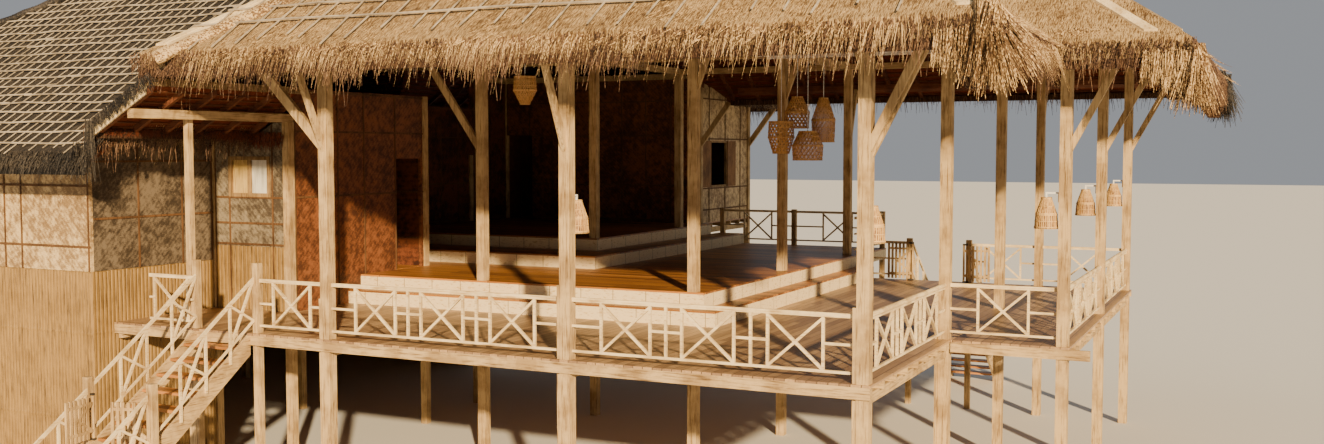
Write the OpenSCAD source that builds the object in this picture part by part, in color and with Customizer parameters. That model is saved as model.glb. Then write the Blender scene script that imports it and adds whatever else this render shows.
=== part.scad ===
// A thatched hall on stilts: stepped timber decks under an open hip roof, with a side gallery,
// a walled wing, a porch, a rear room, two stairs and a rear terrace.
// Millimetres, +Z up. The origin is at the foot of the near corner post, +X runs right along the
// front and +Y runs back into the hall.

/* [Levels] */
// Height of the lower deck above the ground
deck_h = 2700; // [2500:50:2900]
// Rise from one floor level to the next
level_rise = 250; // [200:10:270]
// Height of the thatch's top at the main eaves, above the lower deck
eave_h = 4250; // [4150:50:4500]
// Height of the thatch's top at the wing's eaves, above the lower deck
wing_eave_h = 2800; // [2750:50:2900]
// Height of the thatch's top at the porch's eave, above the lower deck
porch_eave_h = 3230; // [3200:10:3300]

/* [Plan] */
// Width of one bay of the hall
bay_w = 4130; // [4000:10:4300]
// Depth of one bay of the hall
bay_d = 4070; // [3980:10:4200]
// Width of the side gallery outside the corner post line
gallery_w = 1700; // [1550:50:1900]
// Width from the hall's last post line to the porch plate
porch_w = 2690; // [2600:10:2850]
// Depth of the porch from the front posts to the window wall
porch_d = 2130; // [2000:10:2250]
// Width of the porch's low end, from its plate to the wing's side wall
porch_end_w = 1750; // [1650:50:1900]
// How far the wing's front wall stands forward of the front posts
wing_forward = 500; // [400:50:600]
// Width of the wing from its side wall to its far wall
wing_w = 9000; // [8000:100:9600]
// Floor between the side room's back wall and the third step
recess_floor_d = 830; // [780:10:940]
// Width of the recess beside the hall, left of the porch plate
recess_w = 3250; // [3000:50:3400]
// Distance from the rear posts back to the rear room's front wall
rear_gap = 1690; // [1500:10:1800]
// Depth of the rear room
rear_room_d = 3100; // [2900:50:3300]
// Distance from the hall's last post line to the rear room's side wall
rear_room_inset = 240; // [220:10:300]
// Depth of the open terrace behind the rear posts
terrace_d = 2290; // [2100:10:2400]

/* [Posts and beams] */
// Side of a hall post
post_w = 160; // [150:5:180]
// Side of a wall post in the wing, the porch and the rear room
wall_post_w = 140; // [125:5:150]
// Width of a roof plate
plate_w = 130; // [110:5:140]
// Depth of a roof plate
plate_d = 140; // [120:5:160]
// Side of an eave purlin
purlin_w = 90; // [75:5:100]
// Distance from the front and rear posts out to their eave purlins
purlin_reach = 700; // [600:10:760]
// Distance from the corner and gallery posts out to their eave purlins
side_reach = 900; // [800:10:960]
// Distance from the hall's last posts out to the west eave purlin
west_reach = 1640; // [1500:10:1700]
// Height of a brace's foot above the lower deck
brace_foot_h = 2790; // [2650:10:2900]
// Width of a brace
brace_w = 70; // [50:5:90]
// Depth of a brace, measured upright
brace_d = 210; // [160:10:240]

/* [Floors] */
// Thickness of the deck planks
plank_t = 30; // [25:1:40]
// Gap between two fields of planks
plank_gap = 6; // [3:1:10]
// Depth of a joist
joist_d = 100; // [80:5:110]
// Width of a joist
joist_w = 50; // [40:5:60]
// Distance from joist to joist
joist_pitch = 560; // [500:10:650]
// Depth of a bearer
bearer_d = 130; // [110:5:150]
// Width of a bearer
bearer_w = 90; // [70:5:110]
// Depth of the front edge beam
edge_beam_d = 150; // [130:5:170]
// Thickness of the front edge beam
edge_beam_t = 40; // [30:1:50]
// Width of the low step beside the upper deck
step_w = 350; // [300:10:400]
// How far the upper deck stands proud of its post line at the side
deck_lip_x = 230; // [180:10:280]
// How far the upper deck stands proud of its post line in front
deck_lip_y = 110; // [100:5:160]
// Width of the platform step at the side
platform_step_x = 650; // [550:10:750]
// Width of the platform step in front
platform_step_y = 1250; // [1000:10:1350]
// Thickness of a riser board
riser_t = 25; // [20:1:30]

/* [Railings] */
// Height of the rail's top above its deck
rail_h = 840; // [780:10:900]
// Thickness of the railing bars
rail_t = 36; // [30:1:45]
// Width of the top rail
rail_cap_w = 55; // [45:1:70]
// Width of a crossed panel in the railing
cross_w = 760; // [650:10:800]
// Width of the railing's thin bars
bar_w = 34; // [28:1:42]
// Height of the bottom rail above the deck
rail_gap = 100; // [80:5:130]
// Diameter of the round handrail along the sides
pole_d = 70; // [55:5:80]
// Reach of the rear room's braces
room_brace_reach = 900; // [800:20:960]
// Height of the foot of the rear room's braces above the lower deck
room_brace_h = 2900; // [2700:20:3000]
// How far the posts of the terrace rail stand above it
terrace_post_over = 30; // [0:5:60]
// How far the back newels stand above their gates
back_newel_over = 90; // [40:10:160]
// Height of the inner walls above the lower deck
inner_wall_h = 3880; // [3800:20:3960]
// Side of a newel post
newel_w = 110; // [100:5:125]
// Height of a newel post above its deck
newel_h = 1080; // [1000:10:1150]

/* [Stairs] */
// Clear width of a stair between its newel posts
stair_w = 1170; // [1100:10:1200]
// Count of risers from the ground to the lower deck
riser_count = 14; // [13:1:15]
// Depth of one going
going = 270; // [255:5:285]
// Thickness of a tread
tread_t = 40; // [30:1:50]
// Thickness of a stringer
stringer_t = 50; // [40:1:60]
// Depth of a stringer, measured upright
stringer_d = 330; // [300:5:360]
// Height of the stair rails above the treads' edges
stair_rail_h = 820; // [780:10:860]
// Count of goings from the deck down to the stair gate
gate_goings = 7; // [6:1:8]

/* [Gates] */
// Distance from the corner post line to the back gate's near newel
gate_x = 1440; // [1350:10:1550]
// Thickness of a gate's slats
leaf_t = 30; // [24:1:36]
// Diameter of a gate's round hinge stile
stile_d = 44; // [40:1:50]
// Clearance between a gate leaf and the pieces beside it
leaf_gap = 12; // [8:1:16]
// Height of a back gate leaf
back_leaf_h = 760; // [700:10:800]
// Height of a stair gate leaf
stair_leaf_h = 620; // [560:10:660]
// Height of the pivot blocks above and below a hinge stile
pivot_h = 30; // [24:1:40]

/* [Walls] */
// Thickness of the woven walls
wall_t = 60; // [50:2:70]
// Height of the wing's woven wall's foot above the lower deck
wing_sill_h = 860; // [800:10:920]
// Thickness of the bamboo skirting under the wing
skirt_t = 40; // [30:2:50]
// Height of the porch window's sill above the lower deck
sill_h = 2010; // [1950:10:2050]
// Height of the porch window
window_h = 680; // [560:10:720]
// Width of the porch window
window_w = 930; // [800:10:980]
// Width of the window frames' bars
frame_w = 50; // [40:2:60]
// Height of the rear window's sill above the lower deck
rear_sill_h = 1880; // [1800:10:1950]
// Height of the rear window
rear_window_h = 1180; // [1000:10:1220]
// Width of the rear window
rear_window_w = 1080; // [950:10:1100]
// Thickness of a shutter
shutter_t = 28; // [22:1:34]
// Height of the doorways above their floor
door_h = 2150; // [2000:10:2250]
// Width of the doorways
door_w = 780; // [720:10:850]

/* [Roof] */
// Rise of the main roof for each hundred of run
pitch_pct = 70; // [68:1:72]
// Rise of the wing roof for each hundred of run
wing_pitch_pct = 66; // [64:1:67]
// Rise of the porch roof for each hundred of run
porch_pitch_pct = 54; // [52:1:56]
// Thickness of the thatch
thatch_t = 200; // [170:5:220]
// Thickness of the porch roof's thatch
porch_thatch_t = 100; // [80:5:110]
// Depth of a rafter
rafter_d = 90; // [75:5:100]
// Width of a rafter
rafter_w = 70; // [55:5:80]
// Distance from rafter to rafter
rafter_pitch = 640; // [560:10:760]
// Overhang of the front eave past the front posts
front_over = 1200; // [1150:10:1250]
// Overhang of the east and gallery eaves past the corner and gallery posts
side_over = 1700; // [1650:10:1750]
// Overhang of the rear eave past the rear posts
rear_over = 1090; // [1050:10:1150]
// Distance from the hall's last post line out to the west eave
west_over = 2440; // [2400:10:2480]
// Overhang of the porch eave past its plate
porch_over = 800; // [750:10:850]
// Overhang of the wing's eaves past its walls
wing_over = 900; // [850:10:950]
// Overhang of the rear room's eaves past its walls
room_over = 1200; // [1150:10:1250]
// Width of the pale boards along the hips
hip_board_w = 120; // [100:5:140]
// Thickness of the hip boards
hip_board_t = 25; // [20:1:30]
// Length of the straw fringe under the eaves
fringe_h = 120; // [90:10:150]
// Thickness of the straw fringe
fringe_t = 110; // [80:5:120]
// Length of the straw bundles at the roof's corners
tuft_h = 420; // [300:10:500]
// Width of the straw bundles at the roof's corners
tuft_w = 560; // [450:10:650]

/* [Lamps] */
// Height of a post lamp's shade
shade_h = 430; // [380:10:460]
// Bottom diameter of a post lamp's shade
shade_d = 320; // [280:10:340]
// Top diameter of a post lamp's shade
shade_top_d = 130; // [110:10:160]
// Wall thickness of the shades and hanging baskets
weave_t = 8; // [6:1:12]
// Diameter of the hanging baskets' cords
cord_d = 14; // [10:1:18]

/* [Hidden] */
$fn = 48;

// Floor levels: 0 is the lower deck, 2 the upper deck and 4 the inner platform
function level(n) = deck_h + n * level_rise;
// Post lines of the hall, counted leftwards and backwards from the corner post
function col(i) = -i * bay_w;
function row(j) = j * bay_d;

big = 60000;
// Fine joint left between two pieces that butt
seam = 0.5;
pitch = pitch_pct / 100;
wing_pitch = wing_pitch_pct / 100;
porch_pitch = porch_pitch_pct / 100;
back_y = row(3);
porch_x = col(2) - porch_w;
wing_x = porch_x - porch_end_w;
wing_y = -wing_forward;
wing_far_x = wing_x - wing_w;
platform_y = row(2) - post_w / 2 - 30;
step_three_y = platform_y - platform_step_y;
room_back_y = step_three_y - recess_floor_d;
recess_x = porch_x - recess_w;
rear_wall_y = back_y + rear_gap;
rear_end_y = rear_wall_y + rear_room_d;
rear_side_x = col(2) - rear_room_inset;
terrace_y = back_y + terrace_d;
half_wall = wall_t / 2;
behind_wall = half_wall + seam + wall_post_w / 2;
deck_edge = post_w / 2 + 30;

// A roof plane is [facing, position of its eave line, height there, rise per unit of run, thatch]
main_z = deck_h + eave_h;
wing_z = deck_h + wing_eave_h;
front_plane = ["front", -front_over, main_z, pitch, thatch_t];
east_plane = ["east", side_over, main_z, pitch, thatch_t];
rear_plane = ["rear", back_y + rear_over, main_z, pitch, thatch_t];
west_plane = ["west", col(2) - west_over, main_z, pitch, thatch_t];
gallery_front_plane = ["front", bay_d - front_over, main_z, pitch, thatch_t];
gallery_east_plane = ["east", gallery_w + side_over, main_z, pitch, thatch_t];
wing_front_plane = ["front", wing_y - wing_over, wing_z, wing_pitch, thatch_t];
wing_left_plane = ["west", wing_far_x - wing_over, wing_z, wing_pitch, thatch_t];
wing_rear_plane = ["rear", back_y + wing_over, wing_z, wing_pitch, thatch_t];
room_east_plane = ["east", rear_side_x + room_over, main_z, pitch, thatch_t];
room_west_plane = ["west", recess_x - room_over, main_z, pitch, thatch_t];
room_rear_plane = ["rear", rear_end_y + room_over, main_z, pitch, thatch_t];
porch_plane = ["west", porch_x - porch_over, deck_h + porch_eave_h, porch_pitch, porch_thatch_t];
BLOCKS = ["main", "gallery", "wing", "room"];
function planes(b) =
  b == "main" ? [front_plane, east_plane, rear_plane, west_plane] :
  b == "gallery" ? [gallery_front_plane, gallery_east_plane, rear_plane] :
  b == "wing" ? [wing_front_plane, wing_left_plane, wing_rear_plane] :
  [room_east_plane, room_west_plane, room_rear_plane];

// The plane as [a, b, c] in z = a x + b y + c
function slope(p) =
  p[0] == "front" ? [0, p[3], p[2] - p[3] * p[1]] :
  p[0] == "rear" ? [0, -p[3], p[2] + p[3] * p[1]] :
  p[0] == "east" ? [-p[3], 0, p[2] + p[3] * p[1]] :
  [p[3], 0, p[2] - p[3] * p[1]];
function turn(p) = p[0] == "front" ? 0 : p[0] == "east" ? 90 : p[0] == "rear" ? 180 : -90;
// Height at a distance inwards from the plane's eave line, at a depth square to the plane
function in_height(p, inward, depth) = p[2] + p[3] * inward - depth * sqrt(1 + p[3] * p[3]);
// Depths below the thatch's top: the rafters' underside and the purlins' underside
function rafter_low(p) = p[4] + rafter_d;
function purlin_low(p) = p[4] + rafter_d + purlin_w;

post_top = in_height(front_plane, front_over - plate_w / 2 + 40, rafter_low(front_plane)) - plate_d;
gallery_top = in_height(east_plane, side_over - plate_w / 2 + 40, rafter_low(east_plane)) - plate_d;
wing_top = in_height(wing_front_plane, wing_over - plate_w / 2 + 40,
  rafter_low(wing_front_plane)) - plate_d;
porch_top = in_height(porch_plane, porch_over - plate_w / 2 + 40, rafter_low(porch_plane)) - plate_d;
room_top = in_height(room_east_plane, room_over - plate_w / 2 + 40,
  rafter_low(room_east_plane)) - plate_d;
inner_top = level(0) + inner_wall_h;

module box(low, high) {
  translate(low) cube(high - low);
}
module plan(x0, y0, x1, y1) {
  translate([x0, y0]) square([x1 - x0, y1 - y0]);
}

// The plan area where plane p lies lower than plane q by more than a margin
module lower(p, q, margin = 0) {
  d = slope(p) - slope(q);
  n = norm([d[0], d[1]]);
  if (n > 0.0001)
    rotate(atan2(d[1], d[0])) translate([-10 * big - (d[2] + margin) / n, -big]) square([10 * big,
      2 * big]);
  else
    translate([d[2] < 0 ? -big : 4 * big, -big]) square([2 * big, 2 * big]);
}
// A strip of plan beside the line where planes p and q cross, on the side where p is the lower
module beside(p, q, near, wide) {
  d = slope(p) - slope(q);
  n = norm([d[0], d[1]]);
  difference() {
    lower(p, q, near * n);
    lower(p, q, (near + wide) * n);
  }
}

// A sheet that lies on plane p over the plan area of its children, from low to high off its top
module on_slope(p, low, high) {
  side = p[0] == "front" || p[0] == "rear";
  intersection() {
    translate(side ? [0, p[1], p[2]] : [p[1], 0, p[2]])
      rotate([0, 0, turn(p)])
        rotate([atan(p[3]), 0, 0])
          translate([-big / 2, -big / 2, low]) cube([big, big, high - low]);
    linear_extrude(height = 16000) children();
  }
}
// Everything that lies deeper below plane p than a given depth
module below(p, depth) {
  side = p[0] == "front" || p[0] == "rear";
  translate(side ? [0, p[1], p[2]] : [p[1], 0, p[2]])
    rotate([0, 0, turn(p)])
      rotate([atan(p[3]), 0, 0])
        translate([-big / 2, -big / 2, -big - depth]) cube([big, big, big]);
}

// Plan of each roof block; its eaves can be drawn in by an inset
module block_plan(b, inset = 0) {
  if (b == "main")
    plan(col(2) - west_over + inset, -front_over + inset, side_over - inset, back_y + rear_over - inset);
  if (b == "gallery")
    plan(col(1), bay_d - front_over + inset, gallery_w + side_over - inset, back_y + rear_over - inset);
  if (b == "room")
    plan(recess_x - room_over + inset, room_back_y, rear_side_x + room_over - inset,
      rear_end_y + room_over - inset);
  if (b == "wing") {
    plan(wing_far_x - wing_over + inset, wing_y - wing_over + inset, porch_x - porch_over - 50,
      back_y + wing_over - inset);
    difference() {
      plan(porch_x - porch_over - 51, wing_y, col(1), back_y + wing_over - inset);
      difference() {
        plan(porch_x - porch_over - 51, -front_over, col(2), porch_d);
        lower(porch_plane, wing_front_plane, 280);
      }
    }
  }
}
// Where plane p of block b is the roof's own top
module own_area(b, p, inset) {
  intersection() {
    block_plan(b, inset);
    intersection_for (q = [for (q = planes(b)) if (q != p) q]) lower(p, q, seam);
  }
}
// Where block b's roof lies higher than plane p
module hidden_area(b, p) {
  intersection() {
    block_plan(b);
    intersection_for (q = planes(b)) lower(p, q, -seam);
  }
}
module seen_area(b, p, inset = 0) {
  difference() {
    own_area(b, p, inset);
    for (c = BLOCKS) if (c != b) hidden_area(c, p);
  }
}
module rear_area(inset = 0) {
  seen_area("main", rear_plane, inset);
  seen_area("gallery", rear_plane, inset);
}
module porch_area(inset = 0) {
  plan(porch_x - porch_over + inset, -front_over + inset / 8, col(2) - west_over + 150,
    porch_d + wall_post_w / 2);
}

// Square posts that stand on the ground
module post(x, y, top, w) {
  translate([x - w / 2, y - w / 2, 0]) cube([w, w, top]);
}
mid_x = (wing_far_x + recess_x) / 2;
under_x = porch_x - 250;
module hall_post_set() {
  for (i = [0 : 2], j = [0 : 3]) post(col(i), row(j), post_top, post_w);
}
module gallery_post_set() {
  intersection() {
    for (j = [1 : 3]) post(gallery_w, row(j), gallery_top, post_w);
    below(gallery_front_plane, rafter_low(gallery_front_plane));
    below(rear_plane, rafter_low(rear_plane));
  }
}
module porch_post_set() {
  post(porch_x - 85, 0, porch_top, 100);
  post(porch_x, porch_d, porch_top, wall_post_w);
}
module wing_post_set() {
  for (x = [wing_far_x, mid_x]) post(x, wing_y, wing_top, wall_post_w);
  post(wing_x - behind_wall, wing_y + behind_wall, wing_top, wall_post_w);
  for (y = [porch_d, room_back_y]) post(wing_far_x, y, wing_top, wall_post_w);
  post(wing_x, porch_d, inner_top, wall_post_w);
  post(porch_x, room_back_y, inner_top, wall_post_w);
  post(recess_x, room_back_y, inner_top, wall_post_w);
  for (x = [wing_far_x, mid_x]) post(x, back_y, wing_top, wall_post_w);
  post(recess_x, back_y, wing_top - 200, wall_post_w);
  for (y = [row(2), back_y, rear_wall_y]) post(under_x, y, level(4) - plank_t - joist_d - bearer_d,
    wall_post_w);
  post(mid_x, row(2), level(4) - plank_t - joist_d - bearer_d, wall_post_w);
}
module room_post_set() {
  for (x = [recess_x, rear_side_x], y = [rear_wall_y, rear_end_y]) post(x, y, room_top, wall_post_w);
}
stair_right_x = col(2) - 1390;
stair_left_x = stair_right_x - stair_w - newel_w;
gate_right_x = -gate_x;
gate_left_x = gate_right_x - stair_w - newel_w;
run_end = deck_edge + (riser_count - 1) * going;
gate_y = -deck_edge - gate_goings * going - newel_w / 2;
rise = deck_h / riser_count;
terrace_posts = [col(2) + post_w / 2 + newel_w / 2 + 30, (col(1) + col(2)) / 2,
  col(1) + deck_lip_x - newel_w / 2 - riser_t];
module newel_set() {
  for (x = [stair_left_x, stair_right_x]) {
    post(x, 0, deck_h + newel_h, newel_w);
    post(x, gate_y, deck_h - gate_goings * rise + 900, newel_w);
    post(x, -run_end, newel_h, newel_w);
  }
  for (x = [gate_left_x, gate_right_x]) {
    post(x, back_y, level(0) + back_leaf_h + 2 * pivot_h + back_newel_over, newel_w);
    post(x, back_y + run_end, newel_h, newel_w);
  }
  for (x = terrace_posts) post(x, terrace_y - newel_w / 2, level(2) + rail_h + terrace_post_over,
    newel_w);
}
module all_posts() {
  hall_post_set();
  gallery_post_set();
  porch_post_set();
  wing_post_set();
  room_post_set();
  newel_set();
}

module main_posts() {
  color("burlywood") {
    hall_post_set();
    gallery_post_set();
    porch_post_set();
  }
}
module wing_posts() {
  color("tan") {
    wing_post_set();
    room_post_set();
  }
}
module newel_posts() {
  color("burlywood") newel_set();
}

// Edges of the upper floors
upper_x = col(1) + deck_lip_x;
upper_y = row(1) - deck_lip_y;
platform_x = col(2) + post_w / 2 + 30;
step_three_x = platform_x + platform_step_x;

module floor_slab(top, t) {
  difference() {
    translate([0, 0, top - t]) linear_extrude(height = t) children();
    all_posts();
  }
}
module lower_deck() {
  color("saddlebrown") floor_slab(level(0), plank_t) {
    plan(wing_x + half_wall, -deck_edge, porch_x - wall_post_w / 2, porch_d - half_wall);
    plan(porch_x - wall_post_w / 2 + plank_gap, -deck_edge, deck_edge, porch_d - wall_post_w / 2);
    plan(porch_x + half_wall, porch_d - wall_post_w / 2 + plank_gap, deck_edge, upper_y + riser_t);
    plan(upper_x - riser_t, upper_y + riser_t + plank_gap, deck_edge, back_y + deck_edge);
  }
}
module gallery_deck() {
  color("saddlebrown") floor_slab(level(0), plank_t)
    plan(deck_edge + plank_gap, bay_d - deck_edge, gallery_w + deck_edge, back_y + deck_edge);
}
module lower_decks() {
  lower_deck();
  gallery_deck();
}
module low_step() {
  color("sienna") floor_slab(level(1), plank_t) {
    plan(porch_x + half_wall, upper_y - step_w, upper_x + step_w, upper_y + riser_t);
    plan(upper_x - riser_t, upper_y + riser_t + plank_gap, upper_x + step_w, back_y + deck_edge);
  }
}
module upper_deck() {
  color("saddlebrown") floor_slab(level(2), plank_t) {
    plan(porch_x + half_wall, upper_y, upper_x, room_back_y + half_wall);
    plan(recess_x + half_wall, room_back_y + half_wall + plank_gap, upper_x, platform_y + riser_t);
    plan(platform_x - riser_t, platform_y + riser_t + plank_gap, upper_x, back_y + post_w / 2);
    plan(platform_x - riser_t, back_y + post_w / 2 + plank_gap, upper_x, terrace_y);
  }
}
module side_room_floor() {
  color("saddlebrown") floor_slab(level(2), plank_t)
    plan(wing_x + half_wall, porch_d + half_wall, porch_x - half_wall, room_back_y - half_wall);
}
module upper_decks() {
  upper_deck();
  side_room_floor();
}
module platform_step() {
  color("sienna") floor_slab(level(3), plank_t) {
    plan(recess_x + half_wall, step_three_y, step_three_x, platform_y + riser_t);
    plan(platform_x - riser_t, platform_y + riser_t + plank_gap, step_three_x, terrace_y - newel_w);
  }
}
module deck_steps() {
  low_step();
  platform_step();
}
module inner_platform() {
  color("saddlebrown") floor_slab(level(4), plank_t) {
    plan(recess_x + half_wall, platform_y, platform_x, rear_wall_y - wall_post_w / 2);
    plan(recess_x - half_wall, rear_wall_y - wall_post_w / 2 + plank_gap, rear_side_x + half_wall,
      rear_end_y + half_wall);
  }
}
module wing_floor() {
  color("saddlebrown") floor_slab(level(4), plank_t) {
    plan(wing_far_x + half_wall, wing_y + half_wall, wing_x - half_wall, room_back_y - half_wall);
    plan(wing_far_x + half_wall, room_back_y - half_wall + plank_gap, recess_x - half_wall,
      back_y - half_wall);
  }
}
module riser_x(n, x0, x1, y) {
  box([x0, y, level(n - 1)], [x1, y + riser_t, level(n) - plank_t]);
}
module riser_y(n, x, y0, y1) {
  box([x - riser_t, y0, level(n - 1)], [x, y1, level(n) - plank_t]);
}
module riser_boards() {
  color("wheat") difference() {
    union() {
      riser_x(1, porch_x + half_wall, upper_x + step_w - riser_t - 1, upper_y - step_w);
      riser_y(1, upper_x + step_w, upper_y - step_w, back_y + deck_edge);
      riser_x(2, porch_x + half_wall, upper_x - riser_t - 1, upper_y);
      riser_y(2, upper_x, upper_y, terrace_y);
      riser_x(3, recess_x + half_wall, step_three_x - riser_t - 1, step_three_y);
      riser_y(3, step_three_x, step_three_y, terrace_y - newel_w);
      riser_x(4, recess_x + half_wall, platform_x - riser_t - 1, platform_y);
      riser_y(4, platform_x, platform_y, rear_wall_y - wall_post_w / 2);
    }
    all_posts();
  }
}
// Hidden boards that hold the steps' back edges and the upper deck's rim
module sleeper_boards() {
  color("sienna") difference() {
    union() {
      riser_x(1, porch_x + half_wall, upper_x - riser_t - 1, upper_y);
      riser_y(1, upper_x, upper_y, back_y + deck_edge);
      riser_x(3, recess_x + half_wall, platform_x - riser_t - 1, platform_y);
      riser_y(3, platform_x, platform_y, terrace_y - newel_w);
      riser_y(2, upper_x - 4, back_y + deck_edge + 1, terrace_y);
    }
    translate([0, 0, level(1)]) box([upper_x - 100, 0, 0], [upper_x, terrace_y + 1, level_rise]);
    all_posts();
  }
}
module riser_and_sleeper_boards() {
  riser_boards();
  sleeper_boards();
}

// Joists lie along X, bearers along Y under them, butting between the posts
module joist_row(top, x0, x1, y0, y1) {
  n = max(1, round((y1 - y0 - joist_w) / joist_pitch));
  for (k = [0 : n]) {
    y = y0 + k * (y1 - y0 - joist_w) / n;
    box([x0, y, top - plank_t - joist_d], [x1, y + joist_w, top - plank_t]);
  }
}
module bearer(top, x, y0, y1) {
  box([x - bearer_w / 2, y0, top - plank_t - joist_d - bearer_d],
    [x + bearer_w / 2, y1, top - plank_t - joist_d]);
}
module joists() {
  color("peru") difference() {
    union() {
      joist_row(level(0), wing_x + half_wall, deck_edge, -deck_edge + edge_beam_t, upper_y - 200);
      joist_row(level(0), upper_x, deck_edge, upper_y - 100, back_y + deck_edge);
      joist_row(level(2), porch_x + half_wall, upper_x - riser_t - 10, upper_y + riser_t, room_back_y);
      joist_row(level(2), recess_x + half_wall, upper_x - riser_t - 10, room_back_y + 300,
        platform_y - 100);
      joist_row(level(2), platform_x, upper_x - riser_t - 10, platform_y + 300, terrace_y);
      joist_row(level(2), wing_x + half_wall, porch_x - half_wall, porch_d + half_wall,
        room_back_y - half_wall);
      joist_row(level(4), recess_x + half_wall, platform_x - riser_t, platform_y + riser_t + 10,
        rear_wall_y - wall_post_w / 2);
      joist_row(level(4), recess_x - half_wall, rear_side_x + half_wall, rear_wall_y + 100,
        rear_end_y + half_wall);
      joist_row(level(4), wing_far_x + half_wall, wing_x - half_wall, wing_y + half_wall,
        room_back_y - half_wall);
      joist_row(level(4), wing_far_x + half_wall, recess_x - half_wall, room_back_y + 100,
        back_y - half_wall);
    }
    all_posts();
  }
}
module gallery_joists() {
  color("peru") difference() {
    joist_row(level(0), deck_edge + 1, gallery_w + deck_edge, bay_d - deck_edge + edge_beam_t,
      back_y + deck_edge);
    all_posts();
  }
}
module floor_joists() {
  joists();
  gallery_joists();
}
module bearers() {
  color("peru") difference() {
    union() {
      for (i = [0 : 2]) bearer(level(0), col(i), -deck_edge + edge_beam_t,
        i == 0 ? back_y + deck_edge : upper_y - 200);
      bearer(level(0), porch_x, -deck_edge + edge_beam_t, porch_d);
      bearer(level(0), wing_x + half_wall + 100, -deck_edge + edge_beam_t, porch_d - half_wall);
      bearer(level(0), gallery_w, bay_d - deck_edge + edge_beam_t, back_y + deck_edge);
      for (i = [1, 2]) bearer(level(2), col(i), row(1), i == 1 ? terrace_y - newel_w : platform_y - 100);
      bearer(level(2), porch_x + half_wall + bearer_w / 2, upper_y + riser_t + 10,
        room_back_y - half_wall);
      bearer(level(2), recess_x + half_wall + 50, room_back_y + half_wall, platform_y - 100);
      bearer(level(2), terrace_posts[0], back_y, terrace_y);
      bearer(level(4), col(2), row(2), back_y);
      for (y = [row(2), back_y])
        bearer(level(4), under_x, y, y == row(2) ? back_y : rear_wall_y);
      bearer(level(4), recess_x + half_wall + 50, platform_y + 100, rear_wall_y);
      for (x = [recess_x, rear_side_x]) bearer(level(4), x, rear_wall_y, rear_end_y);
      for (x = [wing_far_x, mid_x]) bearer(level(4), x, wing_y, back_y);
      bearer(level(4), wing_x, wing_y + half_wall + seam, porch_d);
    }
    all_posts();
    below_skirt();
  }
}
// Room for the skirting and the walls, so that the wing's outer bearers stay inside them
module below_skirt() {
  box([wing_far_x - big, -big, 0], [wing_far_x + half_wall, big, level(4)]);
  box([wing_x - half_wall, -big, deck_h + 600], [wing_x + 200, porch_d, level(4)]);
}
module edge_beams() {
  z = level(0) - plank_t;
  color("tan") difference() {
    union() {
      box([wing_x + half_wall, -deck_edge, z - edge_beam_d], [deck_edge, -deck_edge + edge_beam_t, z]);
      box([deck_edge + 1, bay_d - deck_edge, z - edge_beam_d],
        [gallery_w + 390, bay_d - deck_edge + edge_beam_t, z]);
    }
    all_posts();
  }
}

// Roof frame
module cross_plate(j) {
  x0 = j == 0 ? col(2) - west_over + 200 : j == 1 ? col(2) - 500 : recess_x + 300;
  x1 = j == 0 ? side_over : gallery_w - post_w / 2;
  box([x0, row(j) - plate_w / 2, post_top], [x1, row(j) + plate_w / 2, post_top + plate_d]);
}
module cross_plates() {
  color("peru") {
    intersection() {
      cross_plate(0);
      below(front_plane, rafter_low(front_plane));
      below(east_plane, rafter_low(east_plane));
      below(west_plane, rafter_low(west_plane));
    }
    intersection() {
      cross_plate(1);
      below(gallery_front_plane, rafter_low(gallery_front_plane));
    }
    cross_plate(2);
    intersection() {
      box([col(2) - 200, row(3) - plate_w / 2, post_top],
        [gallery_w - post_w / 2, row(3) + plate_w / 2, post_top + plate_d]);
      below(rear_plane, rafter_low(rear_plane));
    }
  }
}
module tie_beams() {
  color("peru") intersection() {
    for (i = [0 : 2], j = [0 : 2])
      box([col(i) - plate_w / 2, row(j) + plate_w / 2, post_top],
        [col(i) + plate_w / 2, row(j + 1) - plate_w / 2, post_top + plate_d]);
    below(rear_plane, rafter_low(rear_plane));
  }
}
module gallery_plate() {
  color("peru") intersection() {
    box([gallery_w - plate_w / 2, bay_d - front_over, gallery_top],
      [gallery_w + plate_w / 2, back_y + rear_over, gallery_top + plate_d]);
    below(gallery_east_plane, rafter_low(gallery_east_plane));
    below(gallery_front_plane, rafter_low(gallery_front_plane));
    below(rear_plane, rafter_low(rear_plane));
  }
}
module porch_plate() {
  color("tan") intersection() {
    box([porch_x - plate_w / 2, -front_over + 20, porch_top],
      [porch_x + plate_w / 2, porch_d + wall_post_w / 2, porch_top + plate_d]);
    below(porch_plane, rafter_low(porch_plane));
  }
}
module wing_plates() {
  color("peru") intersection() {
    union() {
      box([wing_far_x, wing_y - plate_w / 2, wing_top],
        [wing_x + plate_w / 2, wing_y + plate_w / 2, wing_top + plate_d]);
      box([wing_far_x, back_y - plate_w / 2, wing_top],
        [recess_x - 1000, back_y + plate_w / 2, wing_top + plate_d]);
      box([wing_far_x - plate_w / 2, wing_y + plate_w / 2 + seam, wing_top],
        [wing_far_x + plate_w / 2, back_y - plate_w / 2 - seam, wing_top + plate_d]);
    }
    below(wing_front_plane, rafter_low(wing_front_plane));
    below(wing_rear_plane, rafter_low(wing_rear_plane));
    below(wing_left_plane, rafter_low(wing_left_plane));
  }
}
module rear_room_plates() {
  color("peru") intersection() {
    union() {
      for (x = [recess_x, rear_side_x])
        box([x - plate_w / 2, rear_wall_y - 800, room_top],
          [x + plate_w / 2, rear_end_y + plate_w / 2, room_top + plate_d]);
      for (y = [rear_wall_y, rear_end_y])
        box([recess_x + plate_w / 2 + seam, y - plate_w / 2, room_top],
          [rear_side_x - plate_w / 2 - seam, y + plate_w / 2, room_top + plate_d]);
    }
    below(room_east_plane, rafter_low(room_east_plane));
    below(room_west_plane, rafter_low(room_west_plane));
    below(room_rear_plane, rafter_low(room_rear_plane));
  }
}
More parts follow.
